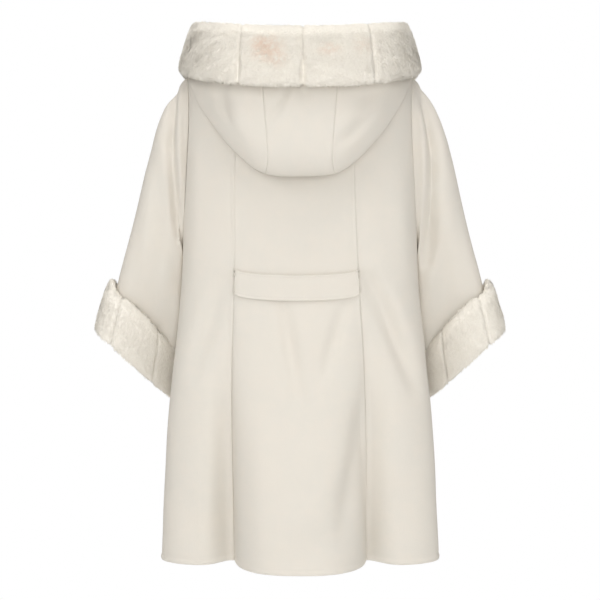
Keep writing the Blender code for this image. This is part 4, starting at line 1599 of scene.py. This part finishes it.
@dataclass(frozen=True)
class Pelt:
    """A fur piece: a bumpy pelt with short strands that lean the way the fur lies."""

    squareness: float = 3.2
    inset: float = 0.0026
    around: int = 44
    bump_height: float = 0.00028
    bump_waves: tuple = (0.014, 0.034)
    strand_length: float = 0.0060
    length_spread: tuple = (0.65, 1.2)
    length_change: float = 0.10
    length_wave: float = 0.010
    strand_width: float = 0.0016
    width_spread: tuple = (0.7, 1.2)
    strand_flatness: float = 0.15
    strand_twist: float = 0.3
    covered_from: float = -0.25
    covered_share: float = 0.10
    swirl: float = 0.45
    swirl_wave: float = 0.045
    stray: float = 0.28
    stands_at: float = 0.50
    stands_over: float = 0.35
    lean: float = 3.0
    lean_limits: tuple = (1.0, 4.0)
    lean_change: float = 0.12
    lean_wave: float = 0.018
    scatter: float = 0.3
    scatter_from: float = 0.2
    own_shade: float = 0.8
    stray_shade: float = 0.14
    end_round: float = 0.0034
    end_width: float = 0.0028
    cover_width: float = 0.0045
    cover_lean: float = 1.6
    cover_from: float = 0.35
    cover_over: float = 0.5
    fill: float = 0.8
    seed: int = 21

    def section(self, middle: Array, long: Array, thick: Array) -> Array:
        """Draw one section of the pelt, a rounded oblong.

        Args:
            middle: Its middle.
            long: Its long half axis.
            thick: Its short half axis.

        Returns:
            The points round it.
        """
        angle = 2 * math.pi * (np.arange(self.around) + 0.5) / self.around
        lengthwise, through = superellipse(angle, self.squareness)
        long = long * (1 - self.inset / np.linalg.norm(long))
        thick = thick * (1 - self.inset / np.linalg.norm(thick))
        return middle + lengthwise[:, None] * long + through[:, None] * thick

    def build(self, name: str, node: str, frames: list[tuple], count: int,
              seams: tuple[FurSeam, FurSeam], finish: bpy.types.Material) -> bpy.types.Object:
        """Build and dress one fur piece.

        Args:
            name: The piece's name.
            node: The solid that it stands for.
            frames: For each section its middle, its two half axes and its distance to the end.
            count: How many strands it has.
            seams: The seams at its two ends.
            finish: The fur's material.

        Returns:
            The piece.
        """
        grid = np.stack([self.section(*self.rounded_end(*frame)) for frame in frames])
        outward = self.outward(grid)
        bumps = sum(Ripple(self.seed + more, wave, self.bump_height).at(grid)
                    for more, wave in enumerate(self.bump_waves))
        grid = grid + outward * bumps[..., None]
        rows, columns = grid.shape[:2]
        quads = grid_quads(rows, columns, True, False)
        ends = np.concatenate((np.arange(columns), np.arange(columns) + (rows - 1) * columns))
        base_points = grid.reshape(-1, 3)
        seed = self.seed + sum(map(ord, name))
        strands, facing = self.strands(grid, outward, frames, count, seams, seed)
        points = np.concatenate((base_points, strands.reshape(-1, 3)))
        first = len(base_points) + 4 * np.arange(len(strands))[:, None]
        spikes = np.concatenate([first + np.array(face) for face in
                                 ((0, 1, 3), (1, 2, 3), (2, 0, 3), (2, 1, 0))])
        corners = np.concatenate((quads.ravel(), ends, spikes.ravel()))
        sizes = np.concatenate((np.full(len(quads), 4), np.full(2, columns),
                                np.full(len(spikes), 3)))
        piece = mesh_piece(name, points, corners, sizes, finish)
        ClothShell.face_out(piece)
        normals = np.concatenate((outward.reshape(-1, 3), np.repeat(facing, 4, axis=0)))
        self.soften(piece.data, normals, len(base_points))
        dress(piece, node)
        return piece

    def soften(self, mesh: bpy.types.Mesh, normals: Array, first_strand: int) -> None:
        """Shade the pelt softly: each strand partly as itself and partly as the pelt.

        Args:
            mesh: The fur piece's mesh.
            normals: The soft normal at each point.
            first_strand: The first point that belongs to a strand.
        """
        corner = np.empty(len(mesh.loops), np.int32)
        mesh.loops.foreach_get("vertex_index", corner)
        sizes = np.empty(len(mesh.polygons), np.int32)
        mesh.polygons.foreach_get("loop_total", sizes)
        own = np.empty(3 * len(mesh.polygons))
        mesh.polygons.foreach_get("normal", own)
        own = np.repeat(own.reshape(-1, 3), sizes, axis=0) * (corner >= first_strand)[:, None]
        mesh.normals_split_custom_set(unit(normals[corner] + self.own_shade * own).tolist())

    def rounded_end(self, middle: Array, long: Array, thick: Array, end: float) -> tuple:
        """Make a section smaller where it comes close to a seam.

        Args:
            middle: The section's middle.
            long: Its long half axis.
            thick: Its short half axis.
            end: Its distance to the seam.

        Returns:
            The middle and the two shorter half axes.
        """
        shrink = self.end_round * math.exp(-(end / self.end_width) ** 2)
        long = long * (1 - shrink / np.linalg.norm(long))
        return middle, long, thick * (1 - shrink / np.linalg.norm(thick))

    @staticmethod
    def outward(grid: Array) -> Array:
        """Give the ways out of the pelt.

        Args:
            grid: The pelt's points.

        Returns:
            The normal at each point.
        """
        normals = normals_of(grid, 1, closed=True)
        out = grid - grid.mean(axis=1, keepdims=True)
        return normals * np.sign((normals * out).sum(axis=-1).mean())

    def strands(self, grid: Array, outward: Array, frames: list[tuple], count: int,
                seams: tuple[FurSeam, FurSeam], seed: int) -> tuple[Array, Array]:
        """Give the four points of each strand, three at its root and one at its tip.

        Args:
            grid: The pelt's points.
            outward: The ways out of the pelt at its points.
            frames: The pelt's sections.
            count: How many strands to make.
            seams: The seams at the pelt's two ends.
            seed: The seed of their places.

        Returns:
            The points, and the way each strand faces.
        """
        rng = np.random.default_rng(seed)
        columns = grid.shape[1]
        wide = np.roll(grid, -1, axis=1)[:-1] - grid[:-1]
        area = np.linalg.norm(np.cross(wide, grid[1:] - grid[:-1]), axis=-1)
        facing = unit(np.array([frame[2] for frame in frames]))
        shown = (outward * facing[:, None, :]).sum(axis=-1)[:-1]
        area = area * np.where(shown > self.covered_from, 1.0, self.covered_share)
        cell = rng.choice(area.size, count, p=(area / area.sum()).ravel())
        row, column = np.divmod(cell, columns)
        u, v = rng.random((2, count, 1))
        ahead = (column + 1) % columns

        def between(values: Array) -> Array:
            """Give values at the strands' roots."""
            near = mix(values[row, column], values[row, ahead], u)
            return mix(near, mix(values[row + 1, column], values[row + 1, ahead], u), v)

        root, normal = between(grid), unit(between(outward))
        middle, axis = (np.array([frame[part] for frame in frames])[row] for part in (0, 1))
        up = ((root - middle) * axis).sum(axis=-1) / (axis * axis).sum(axis=-1)
        flow = unit(-axis) * (1 - 2 * smooth((up - self.stands_at) / self.stands_over))[:, None]
        swirl = Ripple(self.seed + 5, self.swirl_wave, self.swirl).at(root)[:, None]
        lie = flow * np.cos(swirl) + np.cross(normal, flow) * np.sin(swirl)
        lie = lie + rng.normal(scale=self.stray, size=(count, 3))
        lie = lie + self.over_seam(grid, frames, up, row, column, seams)
        lie = unit(lie - normal * (lie * normal).sum(axis=-1, keepdims=True))
        change = Ripple(self.seed + 7, self.lean_wave, 1.0).at(root)[:, None]
        lean = np.clip(self.lean * (1 + self.lean_change * change), *self.lean_limits)
        way = unit(normal + lie * lean)
        length = self.strand_length * rng.uniform(*self.length_spread, (count, 1))
        change = Ripple(self.seed + 9, self.length_wave, 1.0).at(root)[:, None]
        length = length * (1 + self.length_change * change)
        across = unit(np.cross(way, normal + self.strand_twist * rng.normal(size=(count, 3))))
        third = np.cross(way, across)
        width = self.strand_width * rng.uniform(*self.width_spread, (count, 1)) / 2
        rise = third * np.sign((third * normal).sum(axis=-1, keepdims=True))
        points = np.stack((root + across * width, root - across * width,
                           root + rise * width * self.strand_flatness, root + way * length),
                          axis=1)
        outside = facing[row]
        turned = smooth((normal * outside).sum(axis=-1, keepdims=True) + self.scatter_from)
        lit = normal + self.scatter * turned * (outside - normal)
        return points, unit(lit + rng.normal(scale=self.stray_shade, size=(count, 3)))

    def over_seam(self, grid: Array, frames: list[tuple], up: Array, row: Array,
                  column: Array, seams: tuple[FurSeam, FurSeam]) -> Array:
        """Give the part of the strands' lie that leans over the nearer seam.

        Args:
            grid: The pelt's points.
            frames: The pelt's sections.
            up: How high up on the pelt each strand's root is, from -1 to 1.
            row: The section that each root follows.
            column: Its column.
            seams: The seams at the pelt's two ends.

        Returns:
            A vector for each strand.
        """
        up = smooth((up + self.cover_from) / self.cover_over)
        late = row >= len(frames) / 2
        cover = np.where(late, mix(seams[1].low, seams[1].high, up),
                         mix(seams[0].low, seams[0].high, up))
        away = np.array([frame[3] for frame in frames])[row]
        cover = cover * np.exp(-(away / self.cover_width) ** 2) * np.where(late, 1.0, -1.0)
        return unit(grid[1:] - grid[:-1])[row, column] * self.cover_lean * cover[:, None]


@dataclass(frozen=True)
class HoodFur:
    """The fur band round the hood's edge, one piece between each two seams."""

    cut: HoodCut = HoodCut()
    pelt: Pelt = Pelt()
    seams: tuple = (FurSeam(-0.101, -0.60, 0.4), FurSeam(0.005, -1.0, 0.6),
                    FurSeam(0.121, 0.8, 1.0))
    section_step: float = 0.035
    fewest_steps: int = 12
    searched: tuple = (-4, 4, 81)
    seam_steps: tuple = (0.004, 0.012, 0.024)
    strands: tuple = (34000, 13500, 13500, 32000)

    def station_across(self, x: float) -> float:
        """Give the station at which the fur's lower edge is a distance to the side."""
        stations = np.linspace(*self.searched)
        return float(np.interp(x, HOOD.at(stations)["low_x"], stations))

    def frame(self, station: float, first: float, last: float) -> tuple:
        """Place one section of the band.

        Args:
            station: Its station.
            first: The station of the piece's left seam.
            last: The station of its right seam.

        Returns:
            The section's middle, its two half axes and its distance to the nearer seam.
        """
        low, top, facing = self.cut.fur_frame(station)
        long = (top - low) / 2
        long = long * (1 + self.cut.fur_round / np.linalg.norm(long))
        middle = (low + top) / 2
        ends = [sum(self.cut.fur_frame(end)[:2]) / 2 for end in (first, last)]
        gap = min(float(np.linalg.norm(middle - end)) for end in ends)
        return middle, long, facing * self.cut.fur_thick / 2, gap

    def build(self, finish: bpy.types.Material) -> None:
        """Build and dress the four pieces.

        Args:
            finish: The fur's material.
        """
        end = self.cut.end_station
        edges = [-end, *[self.station_across(seam.at) for seam in self.seams], end]
        seams = (FurSeam(-end), *self.seams, FurSeam(end))
        for number, (first, last) in enumerate(zip(edges, edges[1:]), 1):
            count = max(int((last - first) / self.section_step), self.fewest_steps)
            steps = np.array(self.seam_steps) / (last - first)
            stations = mix(first, last, crowded(count, steps))
            frames = [self.frame(float(station), first, last) for station in stations]
            self.pelt.build(f"hood_fur_{number}_pelt", f"hood_fur_{number}", frames,
                            self.strands[number - 1], seams[number - 1:number + 1], finish)


@dataclass(frozen=True)
class FurCuffs:
    """The two turned-back fur cuffs, one piece between each two seams."""

    cut: CoatCut = CoatCut()
    pelt: Pelt = Pelt()
    thick: float = 0.021
    height: float = 0.102
    over: float = 0.008
    seat: float = -0.0007
    flare: float = 0.006
    dip: float = 0.012
    dip_at: float = 35
    dip_width: float = 22
    begins: float = 0.86
    seams: tuple = (45, 108, 240, 405)
    turn_step: float = 2.0
    seam_steps: tuple = (0.002, 0.006, 0.012)
    steps_apart: float = 3
    probe: float = 0.002
    strands: tuple = (4500, 10000, 8000)

    def frame(self, side: int, turn: float, first: float, last: float) -> tuple:
        """Place one section of a cuff.

        Args:
            side: 1 for the right sleeve, -1 for the left one.
            turn: Its place round the sleeve.
            first: The place of the piece's first seam.
            last: The place of its last seam.

        Returns:
            The section's middle, its two half axes and its distance to the nearer seam.
        """
        off = math.degrees(math.atan2(math.sin(turn), math.cos(turn)))
        dip = self.dip * math.exp(-((abs(off) - self.dip_at) / self.dip_width) ** 2)
        height = self.height - dip

        def sleeve(around: float, along: float) -> Array:
            """Give one point of the sleeve."""
            return self.cut.sleeve(side, np.array(around), np.array(along))

        end, start = sleeve(turn, 1.0), sleeve(turn, self.begins)
        way, stretch = unit(end - start), float(np.linalg.norm(end - start))
        middle = sleeve(turn, 1 - (height - self.over) / 2 * (1 - self.begins) / stretch)
        at = (1 + self.begins) / 2
        wide = sleeve(turn + self.probe, at) - sleeve(turn - self.probe, at)
        long = sleeve(turn, at + self.probe) - sleeve(turn, at - self.probe)
        normal = side * unit(np.cross(wide, long))
        middle = middle + way * self.over / 2 + normal * (self.thick / 2 + self.seat)
        flare = normal * self.flare / 2
        off_seam = min(abs(turn - first), abs(last - turn))
        gap = off_seam * float(np.linalg.norm(wide)) / (2 * self.probe)
        return middle + flare, -(way * height / 2 + flare), normal * self.thick / 2, gap

    def build(self, finish: bpy.types.Material) -> None:
        """Build and dress the six pieces.

        Args:
            finish: The fur's material.
        """
        for side in Side:
            for number, (first, last) in enumerate(zip(self.seams, self.seams[1:]), 1):
                start, stop = math.radians(first), math.radians(last)
                steps = np.array(self.seam_steps) / (stop - start) * self.steps_apart
                turns = mix(start, stop, crowded(int((last - first) / self.turn_step), steps))
                frames = [self.frame(side.value, float(turn), start, stop) for turn in turns]
                self.pelt.build(f"cuff_{side.word}_{number}_pelt", f"cuff_{side.word}_{number}",
                                frames, self.strands[number - 1],
                                (FurSeam(first), FurSeam(last)), finish)


@dataclass(frozen=True)
class Lamp:
    """A soft square light that looks at a point."""

    name: str
    place: tuple
    target: tuple
    size: float
    power: float

    def make(self) -> None:
        """Make the light."""
        data = bpy.data.lights.new(self.name, "AREA")
        data.size = self.size
        data.energy = self.power
        lamp = bpy.data.objects.new(self.name, data)
        lamp.location = self.place
        way = np.array(self.target) - np.array(self.place)
        flat = math.hypot(way[0], way[1])
        lamp.rotation_euler = (math.atan2(flat, -way[2]), 0.0, math.atan2(-way[0], way[1]))
        bpy.context.scene.collection.objects.link(lamp)


@dataclass(frozen=True)
class Studio:
    """The camera, the soft lights and the plain pale floor."""

    distance: float = 2.4
    eye_height: float = -0.27
    tilt: float = 4.14
    lens: float = 80.4
    sensor: float = 36.0
    floor_height: float = -1.45
    floor_size: float = 14.0
    floor_colour: tuple = (0.95, 0.95, 0.95, 1.0)
    surround: float = 0.36
    surround_colour: tuple = (1.0, 0.995, 0.985, 1.0)
    lamps: tuple = (
        Lamp("key", (-2.0, -1.9, 1.3), (0, 0, -0.40), 1.5, 22.0),
        Lamp("fill", (2.1, -1.9, 0.7), (0, 0, -0.40), 1.8, 17.0),
        Lamp("eye", (-0.1, -3.0, -0.2), (0, 0, -0.45), 1.6, 33.0),
        Lamp("top", (0.0, -0.9, 2.2), (0, 0, -0.2), 1.4, 27.0),
        Lamp("beyond", (0.2, 2.6, 0.9), (0, 0, -0.45), 2.4, 45.0),
    )

    def build(self) -> None:
        """Set up the camera, the floor, the lights and the surround."""
        self.camera()
        self.floor()
        for lamp in self.lamps:
            lamp.make()
        self.sky()
        bpy.context.scene.view_settings.view_transform = "Standard"

    def camera(self) -> None:
        """Make the camera at the photo's viewing angle."""
        data = bpy.data.cameras.new("camera")
        data.sensor_width = self.sensor
        data.lens = self.lens
        camera = bpy.data.objects.new("camera", data)
        camera.location = (0.0, -self.distance, self.eye_height)
        camera.rotation_euler = (math.radians(90 - self.tilt), 0.0, 0.0)
        bpy.context.scene.collection.objects.link(camera)
        bpy.context.scene.camera = camera

    def floor(self) -> None:
        """Make the plain pale floor."""
        nodes = Nodes("floor")
        nodes.fill(nodes.shader, {"Base Color": self.floor_colour, "Roughness": 1.0,
                                  "Specular IOR Level": 0.0})
        self.white_to_the_eye(nodes.tree, "Material Output", nodes.shader.outputs["BSDF"])
        half = self.floor_size / 2
        points = np.array([(x, y, self.floor_height) for x, y in
                           ((-half, -half), (half, -half), (half, half), (-half, half))])
        floor = mesh_piece("floor", points, np.arange(4), np.array((4,)), nodes.material)

    def sky(self) -> None:
        """Make the even white surround: pure white to the eye, softer as a light."""
        world = bpy.data.worlds.new("surround")
        bpy.context.scene.world = world
        world.use_nodes = True
        tree = world.node_tree
        background = tree.nodes["Background"]
        background.inputs["Color"].default_value = self.surround_colour
        background.inputs["Strength"].default_value = self.surround
        self.white_to_the_eye(tree, "World Output", background.outputs[0])

    @staticmethod
    def white_to_the_eye(tree: bpy.types.NodeTree, output: str,
                         lit: bpy.types.NodeSocket) -> None:
        """Show a surface as plain white, while it lights the coat as its own shader does.

        Args:
            tree: The surface's node tree.
            output: The name of the tree's output node.
            lit: The output of the surface's own shader.
        """
        kind = "ShaderNodeBackground" if output == "World Output" else "ShaderNodeEmission"
        white = tree.nodes.new(kind)
        seen = tree.nodes.new("ShaderNodeLightPath")
        mixed = tree.nodes.new("ShaderNodeMixShader")
        white.inputs["Color"].default_value = (1.0, 1.0, 1.0, 1.0)
        white.inputs["Strength"].default_value = 1.0
        tree.links.new(seen.outputs["Is Camera Ray"], mixed.inputs[0])
        tree.links.new(lit, mixed.inputs[1])
        tree.links.new(white.outputs[0], mixed.inputs[2])
        tree.links.new(mixed.outputs[0], tree.nodes[output].inputs["Surface"])


def main() -> None:
    """Dress the coat piece by piece and set up the studio."""
    logging.basicConfig(level=logging.INFO, format="%(name)s: %(message)s")
    wool, fur = WoolFinish().make(), FurFinish().make()
    Studio().build()
    BodyPanels().build(wool)
    Sleeves().build(wool)
    Hood().build(wool)
    HalfBelt().build(wool)
    HoodFur().build(fur)
    FurCuffs().build(fur)


if __name__ == "__main__":
    main()
